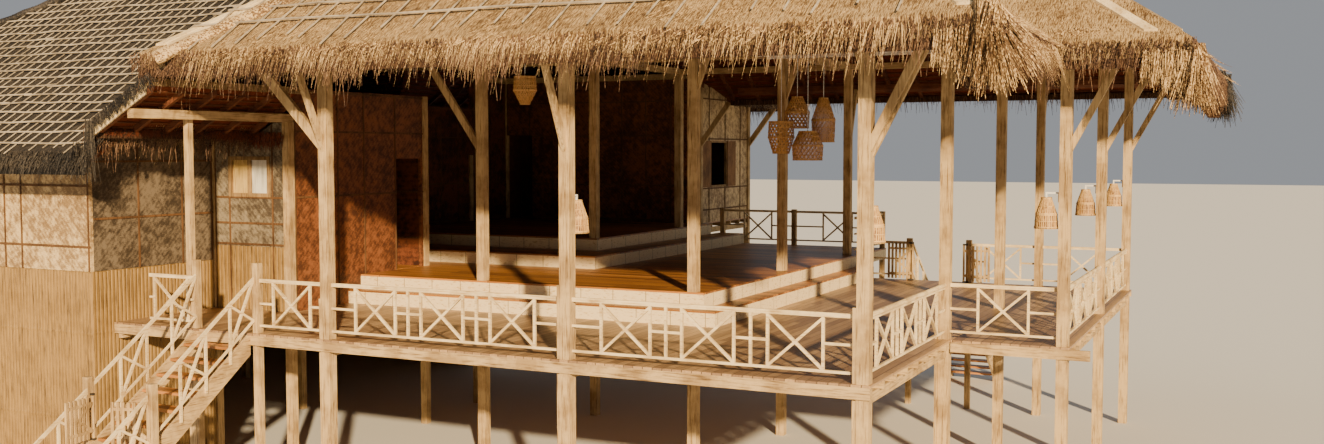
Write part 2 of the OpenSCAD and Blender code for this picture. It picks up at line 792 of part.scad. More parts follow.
module side_plates() {
  gallery_plate();
  porch_plate();
  wing_plates();
  rear_room_plates();
}
// A purlin under the rafters of plane p, along a strip of plan inside the area of its children
module purlin(p) {
  on_slope(p, -purlin_low(p), -rafter_low(p)) intersection() {
    children(0);
    children(1);
  }
}
front_purlin_y = -purlin_reach;
half_purlin = purlin_w / 2;
module eave_purlins() {
  color("peru") {
    purlin(front_plane) {
      plan(-big, front_purlin_y - half_purlin, big, front_purlin_y + half_purlin);
      own_area("main", front_plane, fringe_t);
    }
    purlin(east_plane) {
      plan(side_reach - half_purlin, -big, side_reach + half_purlin, big);
      seen_area("main", east_plane, fringe_t);
    }
    purlin(gallery_front_plane) {
      plan(-big, bay_d - purlin_reach - half_purlin, big, bay_d - purlin_reach + half_purlin);
      seen_area("gallery", gallery_front_plane, fringe_t);
    }
    purlin(gallery_east_plane) {
      plan(gallery_w + side_reach - half_purlin, -big, gallery_w + side_reach + half_purlin, big);
      seen_area("gallery", gallery_east_plane, fringe_t);
    }
    purlin(rear_plane) {
      plan(rear_side_x + room_over + 300, back_y + purlin_reach - 100 - half_purlin, big,
        back_y + purlin_reach - 100 + half_purlin);
      rear_area(fringe_t);
    }
    purlin(west_plane) {
      plan(col(2) - west_reach - half_purlin, -big, col(2) - west_reach + half_purlin, big);
      seen_area("main", west_plane, fringe_t);
    }
    purlin(room_east_plane) {
      plan(rear_side_x + room_brace_reach - half_purlin, rear_wall_y - 300,
        rear_side_x + room_brace_reach + half_purlin, big);
      seen_area("room", room_east_plane, fringe_t);
    }
  }
}
// A slanting brace from a post's face out to the underside of its eave purlin
module brace(x, y, az, shift, reach, foot_h, p, inward, w = post_w) {
  head = in_height(p, inward, purlin_low(p));
  foot = deck_h + foot_h;
  m = (head - foot) / (reach - w / 2);
  intersection() {
    translate([x, y, 0]) rotate([0, 0, az]) translate([0, brace_w / 2 + shift, 0]) rotate([90, 0, 0])
      linear_extrude(height = brace_w) polygon([
        [w / 2, foot],
        [reach + 400 / m, head + 400],
        [reach + (400 - brace_d) / m, head + 400],
        [w / 2, foot + brace_d]]);
    below(p, purlin_low(p));
  }
}
module hall_braces() {
  color("burlywood") {
    for (i = [1, 2]) brace(col(i), 0, -90, 0, purlin_reach, brace_foot_h, front_plane,
      front_over - purlin_reach);
    brace(0, 0, 0, -42, side_reach - 20, brace_foot_h, east_plane, side_over - side_reach);
    brace(0, 0, 0, 42, side_reach + 20, brace_foot_h - 60, east_plane, side_over - side_reach);
    brace(col(2), 0, 180, 0, west_reach, brace_foot_h, west_plane, west_over - west_reach);
    brace(col(2), row(1), 180, 0, west_reach - 300, brace_foot_h, west_plane,
      west_over - west_reach + 300);
  }
}
module gallery_braces() {
  color("burlywood") {
    for (j = [1 : 3]) brace(gallery_w, row(j), 0, 0, side_reach, brace_foot_h, gallery_east_plane,
      side_over - side_reach);
    for (i = [0, 1]) brace(col(i), back_y, 90, 0, purlin_reach - 100, brace_foot_h, rear_plane,
      rear_over - purlin_reach + 100);
  }
}
module rear_room_braces() {
  color("burlywood") for (y = [rear_wall_y, rear_end_y])
    brace(rear_side_x, y, 0, 0, room_brace_reach, room_brace_h, room_east_plane,
    room_over - room_brace_reach, wall_post_w);
}
// Short knees between a post and its plate
module knee(x, y, az) {
  translate([x, y, 0]) rotate([0, 0, az]) translate([0, brace_w / 2, 0]) rotate([90, 0, 0])
    linear_extrude(height = brace_w) polygon([
      [post_w / 2, post_top - 800], [post_w / 2 + 300, post_top], [post_w / 2 + 180, post_top],
        [post_w / 2, post_top - 560]]);
}
module plate_knees() {
  color("burlywood") {
    for (i = [0, 1]) knee(col(i), 0, 180);
    knee(col(1), 0, 0);
    knee(0, row(1), 0);
    for (j = [1, 2]) knee(col(1), row(j), 0);
  }
}
module braces() {
  hall_braces();
  gallery_braces();
  rear_room_braces();
  plate_knees();
}

// Railings, drawn flat and then thickened
module bar_2d(x0, z0, x1, z1, w) {
  translate([x0, z0]) rotate(atan2(z1 - z0, x1 - x0))
    translate([0, -w / 2]) square([norm([x1 - x0, z1 - z0]), w]);
}
module cross_2d(x0, x1, z0, z1) {
  intersection() {
    translate([x0, z0]) square([x1 - x0, z1 - z0]);
    union() {
      bar_2d(x0, z0 + bar_w / 2, x1, z1 - bar_w / 2, bar_w);
      bar_2d(x0, z1 - bar_w / 2, x1, z0 + bar_w / 2, bar_w);
    }
  }
}
// A bay of railing with n crossed panels, mid rails between them and uprights in the inner gaps
module rail_2d(len, n, h) {
  gap = (len - n * cross_w) / (n + 1);
  mid = (rail_gap + h) / 2 - rail_cap_w / 2;
  translate([0, h - rail_cap_w]) square([len, rail_cap_w]);
  translate([0, rail_gap]) square([len, bar_w]);
  for (k = [0 : n]) {
    x = k * (gap + cross_w);
    translate([x, mid]) square([gap, bar_w]);
    if (k > 0 && k < n) translate([x + gap / 2 - bar_w / 2, rail_gap]) square([bar_w, h - rail_gap]);
  }
  for (k = [0 : n - 1]) {
    x = gap + k * (gap + cross_w);
    for (u = [x, x + cross_w - bar_w]) translate([u, rail_gap]) square([bar_w, h - rail_gap]);
    cross_2d(x, x + cross_w, rail_gap, h - rail_cap_w + bar_w / 2);
  }
}
module rail_along_x(x0, x1, y, z, n) {
  translate([x0, y + rail_t / 2, z]) rotate([90, 0, 0])
    linear_extrude(height = rail_t) rail_2d(x1 - x0, n, rail_h);
}
module rail_along_y(x, y0, y1, z, n) {
  translate([x - rail_t / 2, y0, z]) rotate([90, 0, 90])
    linear_extrude(height = rail_t) rail_2d(y1 - y0, n, rail_h);
}
// The same bay with a round handrail
module pole_rail_y(x, y0, y1, z, n) {
  translate([x, y0, z + rail_h - pole_d / 2]) rotate([-90, 0, 0]) cylinder(d = pole_d, h = y1 - y0);
  translate([x - rail_t / 2, y0, z]) rotate([90, 0, 90]) linear_extrude(height = rail_t)
    rail_2d(y1 - y0, n, rail_h - pole_d / 2);
}
module front_rails() {
  color("wheat") {
    rail_along_x(stair_right_x + newel_w / 2, col(2) - post_w / 2, 0, level(0), 1);
    for (i = [1, 0]) rail_along_x(col(i + 1) + post_w / 2, col(i) - post_w / 2, 0, level(0), 3);
  }
}
module landing_rail() {
  x1 = stair_in_l - rail_t - seam;
  color("wheat") translate([x1 - cross_w - 180, -deck_edge + rail_t, level(0)]) rotate([90, 0, 0])
    linear_extrude(height = rail_t) rail_2d(cross_w + 180, 1, rail_h);
}
module front_railings() {
  front_rails();
  landing_rail();
}
module side_rail() {
  color("wheat") pole_rail_y(0, post_w / 2, bay_d - post_w / 2, level(0), 3);
}
module gallery_side_rails() {
  color("wheat") for (j = [1, 2])
    pole_rail_y(gallery_w, row(j) + post_w / 2, row(j + 1) - post_w / 2, level(0), 3);
}
module side_railings() {
  side_rail();
  gallery_side_rails();
}
module gallery_end_rails() {
  color("wheat") for (j = [1, 3]) rail_along_x(post_w / 2, gallery_w - post_w / 2, row(j), level(0), 1);
}
module back_rails() {
  color("wheat") {
    rail_along_x(gate_right_x + newel_w / 2, -post_w / 2, back_y, level(0), 1);
    rail_along_x(upper_x + step_w, gate_left_x - newel_w / 2, back_y, level(0), 0);
  }
}
module terrace_rails() {
  y = terrace_y - newel_w / 2;
  color("wheat") {
    for (k = [0, 1]) rail_along_x(terrace_posts[k] + newel_w / 2, terrace_posts[k + 1] - newel_w / 2,
      y, level(2), 1);
    rail_along_y(terrace_posts[2], back_y + post_w / 2, terrace_y - newel_w, level(2), 1);
  }
}
module back_railings() {
  back_rails();
  terrace_rails();
}

// Stairs: the flight runs down along its own X, from the deck's edge
module treads_2d() {
  for (k = [1 : riser_count - 1])
    translate([(k - 1) * going, deck_h - k * rise - tread_t]) square([going, tread_t]);
}
module stringer_2d() {
  run = riser_count * going;
  intersection() {
    polygon([[0, deck_h], [0, deck_h - stringer_d], [run, -stringer_d], [run, 0]]);
    square([run, deck_h - plank_t]);
  }
}
module rail_line(u0, u1, h, w) {
  polygon([
    [u0, deck_h + h - u0 * rise / going], [u0, deck_h + h - w - u0 * rise / going],
    [u1, deck_h + h - w - u1 * rise / going], [u1, deck_h + h - u1 * rise / going]]);
}
module raked_upright(u, low, high) {
  translate([u, deck_h + low - u * rise / going]) square([bar_w, high - low]);
}
// One side's railing between newels at u0 and u1, with n panels, every other one crossed
module stair_rail_2d(u0, u1, n) {
  rail_line(u0, u1, stair_rail_h, rail_cap_w);
  rail_line(u0, u1, 170, bar_w);
  for (k = [1 : n - 1]) raked_upright(u0 + (u1 - u0) * k / n - bar_w / 2, -120, stair_rail_h - 20);
  for (k = [0 : 2 : n - 1]) {
    a = u0 + (u1 - u0) * k / n;
    b = u0 + (u1 - u0) * (k + 1) / n;
    intersection() {
      polygon([
        [a, deck_h + 150 - a * rise / going], [b, deck_h + 150 - b * rise / going],
        [b, deck_h + stair_rail_h - 20 - b * rise / going],
          [a, deck_h + stair_rail_h - 20 - a * rise / going]]);
      union() {
        bar_2d(a, deck_h + 150 - a * rise / going, b, deck_h + stair_rail_h - 40 - b * rise / going,
          bar_w);
        bar_2d(a, deck_h + stair_rail_h - 40 - a * rise / going, b, deck_h + 150 - b * rise / going,
          bar_w);
      }
    }
  }
}
module flight(front, x, w) {
  if (front) translate([x, -deck_edge, 0]) rotate([90, 0, -90]) linear_extrude(height = w) children();
  else translate([x, back_y + deck_edge, 0]) rotate([90, 0, 90]) linear_extrude(height = w) children();
}
stair_in_l = stair_left_x + newel_w / 2;
stair_in_r = stair_right_x - newel_w / 2;
gate_in_l = gate_left_x + newel_w / 2;
gate_in_r = gate_right_x - newel_w / 2;
tread_len = stair_w - 2 * stringer_t;
module front_treads() {
  color("sienna") flight(true, stair_in_r - stringer_t, tread_len) treads_2d();
}
module back_treads() {
  color("sienna") flight(false, gate_in_l + stringer_t, tread_len) treads_2d();
}
module stair_treads() {
  front_treads();
  back_treads();
}
module front_stringers() {
  color("peru") for (x = [stair_in_l + stringer_t, stair_in_r]) flight(true, x, stringer_t) stringer_2d();
}
module back_stringers() {
  color("peru") for (x = [gate_in_l, gate_in_r - stringer_t]) flight(false, x, stringer_t) stringer_2d();
}
module stair_stringers() {
  front_stringers();
  back_stringers();
}
u_top = -(deck_edge - newel_w / 2);
u_gate_a = -gate_y - deck_edge - newel_w / 2;
u_gate_b = u_gate_a + newel_w;
u_end = run_end - deck_edge - newel_w / 2;
module front_stair_rails() {
  color("wheat") for (x = [stair_in_l, stair_in_r + rail_t]) {
    flight(true, x, rail_t) stair_rail_2d(u_top, u_gate_a, 4);
    flight(true, x, rail_t) stair_rail_2d(u_gate_b, u_end, 3);
  }
}
module back_stair_rails() {
  color("wheat") for (x = [gate_in_l - rail_t, gate_in_r]) flight(false, x,
    rail_t) stair_rail_2d(u_top, u_end, 7);
}
module stair_rails() {
  front_stair_rails();
  back_stair_rails();
}

// Gate leaves. Each hangs on a round stile that turns between two pivot blocks on its newel.
leaf_w = stair_w / 2 - leaf_gap * 1.5 - stile_d / 2;
stile_off = newel_w / 2 + leaf_gap + stile_d / 2;
back_leaf_y = back_y - newel_w / 2 - leaf_gap - stile_d / 2;
back_leaf_z = level(0) + pivot_h + 10;
stair_leaf_z = deck_h - (-gate_y - deck_edge - stile_d / 2) * rise / going + pivot_h + 10;
module leaf(h, n) {
  cylinder(d = stile_d, h = h);
  rotate([90, 0, 0]) translate([0, 0, -leaf_t / 2]) linear_extrude(height = leaf_t) {
    for (z = [90, h - 130]) translate([0, z]) square([leaf_w, bar_w * 1.2]);
    for (k = [1 : n]) translate([leaf_w - 44 - (n - k) * (leaf_w - 60) / n, 0]) square([44, h - 10]);
    bar_2d(20, 110, leaf_w * 0.6, h / 2, bar_w);
    bar_2d(20, h - 110, leaf_w * 0.6, h / 2, bar_w);
  }
}
module back_gate_left() {
  color("wheat") translate([gate_left_x + stile_off, back_leaf_y, back_leaf_z])
    rotate([0, 0, 180]) leaf(back_leaf_h, 6);
}
module back_gate_right() {
  color("wheat") translate([gate_right_x - stile_off, back_leaf_y, back_leaf_z]) leaf(back_leaf_h, 6);
}
module stair_gate_left() {
  color("tan") translate([stair_left_x + stile_off, gate_y, stair_leaf_z])
    rotate([0, 0, -80]) leaf(stair_leaf_h, 6);
}
module stair_gate_right() {
  color("tan") translate([stair_right_x - stile_off, gate_y, stair_leaf_z])
    rotate([0, 0, 200]) leaf(stair_leaf_h, 6);
}
module pivot_pair(x, dir, y, z, h) {
  w = newel_w / 2;
  for (low = [z - pivot_h - 0.5, z + h + 0.5])
    box([dir > 0 ? x + w : x - w - leaf_gap - stile_d, y - stile_d / 2, low],
      [dir > 0 ? x + w + leaf_gap + stile_d : x - w, y + stile_d / 2, low + pivot_h]);
}
module gate_pivots() {
  color("dimgray") {
    pivot_pair(stair_left_x, 1, gate_y, stair_leaf_z, stair_leaf_h);
    pivot_pair(stair_right_x, -1, gate_y, stair_leaf_z, stair_leaf_h);
    for (z = [back_leaf_z - pivot_h - 0.5, back_leaf_z + back_leaf_h + 0.5]) {
      for (x = [gate_left_x, gate_right_x - stile_off - stile_d / 2])
        box([x, back_leaf_y - stile_d / 2, z],
          [x + stile_off + stile_d / 2, back_y - newel_w / 2, z + pivot_h]);
    }
  }
}

// Walls
wing_sill = deck_h + wing_sill_h;
sill = deck_h + sill_h;
rear_sill = deck_h + rear_sill_h;
module wall_x(x0, x1, y, z0, z1) {
  box([x0, y - half_wall, z0], [x1, y + half_wall, z1]);
}
module wall_y(x, y0, y1, z0, z1) {
  box([x - half_wall, y0, z0], [x + half_wall, y1, z1]);
}
module wing_front_wall() {
  color("tan") difference() {
    wall_x(wing_far_x, wing_x + half_wall, wing_y, wing_sill, wing_top);
    all_posts();
  }
}
module wing_side_wall() {
  color("tan") difference() {
    intersection() {
      wall_y(wing_x, wing_y + half_wall + seam, porch_d, wing_sill, inner_top);
      below(wing_front_plane, rafter_low(wing_front_plane));
    }
    wing_plates();
    all_posts();
  }
}
window_mid = (wing_x + porch_x) / 2 + 10;
window_top = sill + window_h;
module window_wall() {
  color("tan") difference() {
    union() {
      wall_x(wing_x, window_mid - window_w / 2, porch_d, level(0), porch_top - 5);
      wall_x(window_mid - window_w / 2 + seam, window_mid + window_w / 2 - seam, porch_d, level(0), sill);
      wall_x(window_mid - window_w / 2 + seam, window_mid + window_w / 2 - seam, porch_d, window_top,
        porch_top - 5);
      wall_x(window_mid + window_w / 2, porch_x, porch_d, level(0), porch_top - 5);
    }
    difference() {
      box([porch_x - porch_over, 0, 0], [porch_x + 100, row(1), big]);
      below(porch_plane, rafter_low(porch_plane));
    }
    box([porch_x - porch_over - 55, 0, deck_h + porch_eave_h - 2 * porch_thatch_t - fringe_h],
      [porch_x - porch_over + 200, row(1), big]);
    all_posts();
  }
}
module porch_window() {
  pane = (window_w - 3 * frame_w) / 2;
  color("burlywood") difference() {
    box([window_mid - window_w / 2, porch_d - half_wall, sill],
      [window_mid + window_w / 2, porch_d + half_wall, window_top]);
    for (k = [0, 1]) translate([window_mid - window_w / 2 + frame_w + k * (pane + frame_w),
      porch_d - wall_t, sill + frame_w])
      cube([pane, 2 * wall_t, window_h - 2 * frame_w]);
  }
}
door_y0 = room_back_y - wall_post_w / 2 - door_w - 60;
module room_side_wall() {
  color("sienna") difference() {
    union() {
      wall_y(porch_x, porch_d + wall_post_w / 2 + seam, door_y0, deck_h, inner_top);
      wall_y(porch_x, door_y0 + door_w, room_back_y, deck_h, inner_top);
      wall_y(porch_x, door_y0 + seam, door_y0 + door_w - seam, level(2) + door_h, inner_top);
    }
    box([porch_x - 100, door_y0, 0], [porch_x + 100, door_y0 + door_w, level(2)]);
    all_posts();
  }
}
module recess_walls() {
  color("sienna") difference() {
    union() {
      wall_x(recess_x, porch_x, room_back_y, level(0), inner_top);
      wall_y(recess_x, room_back_y + half_wall + seam, back_y - seam, level(0), inner_top);
      wall_y(recess_x, back_y, rear_wall_y, level(0), room_top);
    }
    all_posts();
  }
}
room_door_x = recess_x + wall_post_w / 2;
module rear_room_front_wall() {
  color("sienna") difference() {
    union() {
      wall_x(room_door_x + door_w, rear_side_x, rear_wall_y, level(4), room_top);
      wall_x(room_door_x, room_door_x + door_w - seam, rear_wall_y, level(4) + door_h + 60, room_top);
    }
    all_posts();
  }
}
rear_win_y = rear_wall_y + 1130;
module rear_room_side_wall() {
  y0 = rear_win_y - rear_window_w / 2;
  color("tan") difference() {
    union() {
      wall_y(rear_side_x, rear_wall_y, y0, level(4), room_top);
      wall_y(rear_side_x, y0 + seam, y0 + rear_window_w - seam, level(4), rear_sill);
      wall_y(rear_side_x, y0 + seam, y0 + rear_window_w - seam, rear_sill + rear_window_h, room_top);
      wall_y(rear_side_x, y0 + rear_window_w, rear_end_y, level(4), room_top);
    }
    all_posts();
  }
}
module rear_window_frame() {
  y0 = rear_win_y - rear_window_w / 2;
  color("burlywood") difference() {
    box([rear_side_x - half_wall, y0, rear_sill],
      [rear_side_x + half_wall, y0 + rear_window_w, rear_sill + rear_window_h]);
    box([rear_side_x - wall_t, y0 + frame_w, rear_sill + frame_w],
      [rear_side_x + wall_t, y0 + rear_window_w - frame_w, rear_sill + rear_window_h - frame_w]);
  }
}
module window_frames() {
  porch_window();
  rear_window_frame();
}
module rear_shutters() {
  y0 = rear_win_y - rear_window_w / 2;
  w = rear_window_w / 2;
  color("burlywood") for (y = [y0 - w + 20, y0 + rear_window_w - 20])
    box([rear_side_x + half_wall, max(y, rear_wall_y + wall_post_w / 2 + 4), rear_sill + 10],
      [rear_side_x + half_wall + shutter_t, y + w, rear_sill + rear_window_h - 10]);
}
module rear_room_outer_walls() {
  color("tan") difference() {
    union() {
      wall_x(recess_x - half_wall, rear_side_x - half_wall, rear_end_y, level(4), room_top);
      wall_y(recess_x, rear_wall_y, rear_end_y - half_wall - seam, level(4), room_top);
    }
    all_posts();
  }
}
module wing_outer_walls() {
  color("tan") difference() {
    union() {
      wall_y(wing_far_x, wing_y + half_wall, back_y - half_wall - seam, wing_sill, wing_top);
      wall_x(wing_far_x - half_wall, recess_x - half_wall, back_y, wing_sill, wing_top);
    }
    all_posts();
  }
}
module outer_walls() {
  rear_room_outer_walls();
  wing_outer_walls();
}
module skirting() {
  s = skirt_t / 2;
  color("darkkhaki") difference() {
    union() {
      box([wing_far_x - s, wing_y - s, 0], [wing_x + s, wing_y + s, wing_sill]);
      box([wing_x - s, wing_y + s + 1, 0], [wing_x + s, porch_d, wing_sill]);
      box([wing_far_x - s, wing_y + s + 1, 0], [wing_far_x + s, back_y - s - 1, wing_sill]);
      box([wing_far_x - s, back_y - s, 0], [recess_x - half_wall - 60, back_y + s, wing_sill]);
    }
    all_posts();
  }
}

// Thatch
module front_thatch() {
  color("goldenrod") on_slope(front_plane, -thatch_t, 0) seen_area("main", front_plane);
}
module east_thatch() {
  color("goldenrod") on_slope(east_plane, -thatch_t, 0) seen_area("main", east_plane);
}
module west_thatch() {
  color("darkgoldenrod") on_slope(west_plane, -thatch_t, 0) seen_area("main", west_plane);
}
module gallery_front_thatch() {
  color("goldenrod") on_slope(gallery_front_plane, -thatch_t, 0) seen_area("gallery",
    gallery_front_plane);
}
module gallery_east_thatch() {
  color("goldenrod") on_slope(gallery_east_plane, -thatch_t, 0) seen_area("gallery", gallery_east_plane);
}
module rear_thatch() {
  color("goldenrod") on_slope(rear_plane, -thatch_t, 0) rear_area();
}
module porch_thatch() {
  color("darkgoldenrod") on_slope(porch_plane, -porch_thatch_t, 0) porch_area();
}
module wing_front_thatch() {
  color("gray") on_slope(wing_front_plane, -thatch_t, 0) seen_area("wing", wing_front_plane);
}
module wing_left_thatch() {
  color("gray") on_slope(wing_left_plane, -thatch_t, 0) seen_area("wing", wing_left_plane);
}
module wing_rear_thatch() {
  color("gray") on_slope(wing_rear_plane, -thatch_t, 0) seen_area("wing", wing_rear_plane);
}
module wing_back_thatch() {
  wing_left_thatch();
  wing_rear_thatch();
}
module room_east_thatch() {
  color("goldenrod") on_slope(room_east_plane, -thatch_t, 0) seen_area("room", room_east_plane);
}
module room_west_thatch() {
  color("goldenrod") on_slope(room_west_plane, -thatch_t, 0) seen_area("room", room_west_plane);
}
module room_rear_thatch() {
  color("goldenrod") on_slope(room_rear_plane, -thatch_t, 0) seen_area("room", room_rear_plane);
}
module rear_room_thatch() {
  room_east_thatch();
  room_west_thatch();
  room_rear_thatch();
}

// Rafters run up the slope under the thatch, inside the fringe
module rafter_strips(p, a, b) {
  side = p[0] == "front" || p[0] == "rear";
  n = round((b - a) / rafter_pitch);
  for (k = [0 : n]) {
    c = a + (b - a) * k / n;
    if (side) plan(c - rafter_w / 2, -big / 2, c + rafter_w / 2, big / 2);
    else plan(-big / 2, c - rafter_w / 2, big / 2, c + rafter_w / 2);
  }
}
module rafters_on(p, a, b) {
  on_slope(p, -rafter_low(p), -p[4] - seam / 2) intersection() {
    children();
    rafter_strips(p, a, b);
  }
}
rin = fringe_t + 10;
module front_rafters() {
  color("sienna") rafters_on(front_plane, col(2) - west_over + 350,
    side_over - 350) seen_area("main", front_plane, rin);
}
module east_rafters() {
  color("sienna") rafters_on(east_plane, -front_over + 350, row(2)) seen_area("main", east_plane, rin);
}
module west_rafters() {
  color("sienna") rafters_on(west_plane, -front_over + 350, back_y) seen_area("main", west_plane, rin);
}
module gallery_rafters() {
  color("sienna") {
    rafters_on(gallery_front_plane, col(1) + 900, gallery_w + side_over - 400) seen_area("gallery",
      gallery_front_plane, rin);
    rafters_on(gallery_east_plane, bay_d - front_over + 400,
      back_y + rear_over - 400) seen_area("gallery", gallery_east_plane, rin);
  }
}
module rear_rafters() {
  color("sienna") rafters_on(rear_plane, col(2) - 300, gallery_w + side_over - 350) rear_area(rin);
}
module porch_rafters() {
  color("sienna") rafters_on(porch_plane, -front_over + 30 + rafter_w / 2, porch_d - 160) porch_area(rin);
}
module side_rafters() {
  east_rafters();
  west_rafters();
  gallery_rafters();
  rear_rafters();
  porch_rafters();
}
module wing_rafters() {
  color("sienna") {
    rafters_on(wing_front_plane, wing_far_x - 500, porch_x - porch_over - 130) intersection() {
      seen_area("wing", wing_front_plane, rin);
      plan(-big, -big, porch_x - porch_over - 60, wing_y + 1500);
    }
    rafters_on(wing_left_plane, wing_y - 500, back_y + 500) intersection() {
      seen_area("wing", wing_left_plane, rin);
      plan(-big, -big, wing_far_x + 1500, big);
    }
    rafters_on(wing_rear_plane, wing_far_x - 500, recess_x - room_over - 300) intersection() {
      seen_area("wing", wing_rear_plane, rin);
      plan(-big, back_y - 1500, big, big);
    }
  }
}
module room_rafters() {
  color("sienna") {
    rafters_on(room_east_plane, room_back_y + 400, rear_end_y + 800) seen_area("room",
      room_east_plane, rin);
    rafters_on(room_west_plane, back_y - 200, rear_end_y + 800) seen_area("room", room_west_plane, rin);
    rafters_on(room_rear_plane, recess_x - 800, rear_side_x + 800) seen_area("room", room_rear_plane,
      rin);
  }
}
module back_rafters() {
  wing_rafters();
  room_rafters();
}

// Straw fringe that hangs under the eaves' edges
module fringe_x(x0, x1, y, out, p) {
  z = p[2] - p[4] * sqrt(1 + p[3] * p[3]);
  box([x0, out > 0 ? y - fringe_t : y, z - fringe_h], [x1, out > 0 ? y : y + fringe_t, z]);
}
module fringe_y(x, y0, y1, out, p) {
  z = p[2] - p[4] * sqrt(1 + p[3] * p[3]);
  box([out > 0 ? x - fringe_t : x, y0, z - fringe_h], [out > 0 ? x : x + fringe_t, y1, z]);
}
module hall_fringe() {
  f = fringe_t;
  color("goldenrod") {
    fringe_x(col(2) - west_over, side_over, -front_over, -1, front_plane);
    fringe_y(side_over, -front_over + f, bay_d - front_over + f, 1, east_plane);
    fringe_x(side_over, gallery_w + side_over, bay_d - front_over, -1, front_plane);
    fringe_y(gallery_w + side_over, bay_d - front_over + f, back_y + rear_over, 1, east_plane);
    fringe_x(rear_side_x + room_over, gallery_w + side_over - f, back_y + rear_over, 1, rear_plane);
    fringe_y(col(2) - west_over, -front_over + f, 600, -1, west_plane);
  }
}
module rear_room_fringe() {
  f = fringe_t;
  color("goldenrod") {
    fringe_y(rear_side_x + room_over, back_y + rear_over, rear_end_y + room_over, 1, room_east_plane);
    fringe_x(recess_x - room_over, rear_side_x + room_over - f, rear_end_y + room_over, 1,
      room_rear_plane);
    fringe_y(recess_x - room_over, back_y + rear_over - 1900, rear_end_y + room_over - f, -1,
      room_west_plane);
  }
}
module wing_fringe() {
  f = fringe_t;
  color("gray") {
    fringe_x(wing_far_x - wing_over, porch_x - porch_over - 50, wing_y - wing_over, -1, wing_front_plane);
    fringe_y(wing_far_x - wing_over, wing_y - wing_over + f, back_y + wing_over, -1, wing_left_plane);
    fringe_x(wing_far_x - wing_over + f, recess_x - room_over - 50, back_y + wing_over, 1,
      wing_rear_plane);
  }
}
module porch_fringe() {
  color("darkgoldenrod") fringe_y(porch_x - porch_over, -front_over + rafter_w + 60,
    porch_d - half_wall, -1, porch_plane);
}
// Straw bundles under the corners, tapering downwards
module tuft(x, y, sx, sy, z) {
  w = tuft_w;
  translate([x, y, z - tuft_h]) mirror([sx > 0 ? 1 : 0, 0, 0]) mirror([0, sy > 0 ? 1 : 0,
    0]) intersection() {
    translate([0, w, 0]) rotate([90, 0, 0]) linear_extrude(height = w)
      polygon([[60, 0], [w * 0.5, 0], [w, tuft_h], [0, tuft_h]]);
    rotate([90, 0, 90]) linear_extrude(height = w)
      polygon([[60, 0], [w * 0.5, 0], [w, tuft_h], [0, tuft_h]]);
  }
}
tuft_z = in_height(front_plane, 0, thatch_t) - fringe_h;
module corner_tufts() {
  color("goldenrod") {
    tuft(side_over, -front_over, 1, -1, tuft_z);
    tuft(gallery_w + side_over, bay_d - front_over, 1, -1, tuft_z);
    tuft(gallery_w + side_over, back_y + rear_over, 1, 1, tuft_z);
  }
}
module eave_fringe() {
  hall_fringe();
  rear_room_fringe();
  porch_fringe();
  wing_fringe();
  corner_tufts();
}
// Pale boards laid on the thatch along the hips and the valley
module hip_strip(p, q, b, near) {
  on_slope(p, seam / 2, hip_board_t) intersection() {
    seen_area(b, p, 150);
    beside(p, q, near, hip_board_w);
  }
}
module hip_boards() {
  w = hip_board_w;
  color("wheat") {
    for (near = [10, w + 50]) hip_strip(front_plane, west_plane, "main", near);
    hip_strip(front_plane, east_plane, "main", 60);
    hip_strip(east_plane, front_plane, "main", 60);
    hip_strip(gallery_front_plane, gallery_east_plane, "gallery", 200);
    hip_strip(gallery_east_plane, gallery_front_plane, "gallery", 60);
    hip_strip(rear_plane, gallery_east_plane, "gallery", 60);
    hip_strip(gallery_east_plane, rear_plane, "gallery", 60);
  }
}
module porch_barge_board() {
  color("wheat") on_slope(porch_plane, -rafter_low(porch_plane) - 10, 0)
    plan(porch_x - porch_over + 60, -front_over - 30, col(2) - west_over + 120, -front_over);
}
module roof_boards() {
  hip_boards();
  porch_barge_board();
}

// Lamps: bell shades on short arms at the posts, and woven baskets hung on cords
module shade(x, y, z) {
  translate([x, y, z]) rotate_extrude() polygon([
    [shade_d / 2, 0], [shade_d / 2 - 14, shade_h * 0.45], [shade_top_d / 2, shade_h],
    [0, shade_h], [0, shade_h - weave_t], [shade_top_d / 2 - weave_t, shade_h - weave_t],
    [shade_d / 2 - 14 - weave_t, shade_h * 0.45], [shade_d / 2 - weave_t, 0]]);
}
shade_z = deck_h + 1700;
// Each entry is the post's place and the direction of the lamp's arm
LAMPS = [
  [col(1), 0, 90], [0, 0, 90], [gallery_w, row(1), 180], [gallery_w, row(2), 180],
    [gallery_w, row(3), 180]];
lamp_reach = post_w / 2 + shade_d / 2 + 20;
module lamp_shades() {
  color("tan") for (l = LAMPS)
    shade(l[0] + lamp_reach * cos(l[2]), l[1] + lamp_reach * sin(l[2]), shade_z);
}
module lamp_arms() {
  color("whitesmoke") for (l = LAMPS) translate([l[0], l[1], shade_z + shade_h]) rotate([0, 0, l[2]]) {
    translate([lamp_reach - 12, -12, 0]) cube([24, 24, 60]);
    translate([post_w / 2, -12, 60]) cube([lamp_reach - post_w / 2 + 12, 24, 24]);
    translate([post_w / 2, -20, -60]) cube([20, 40, 144]);
  }
}
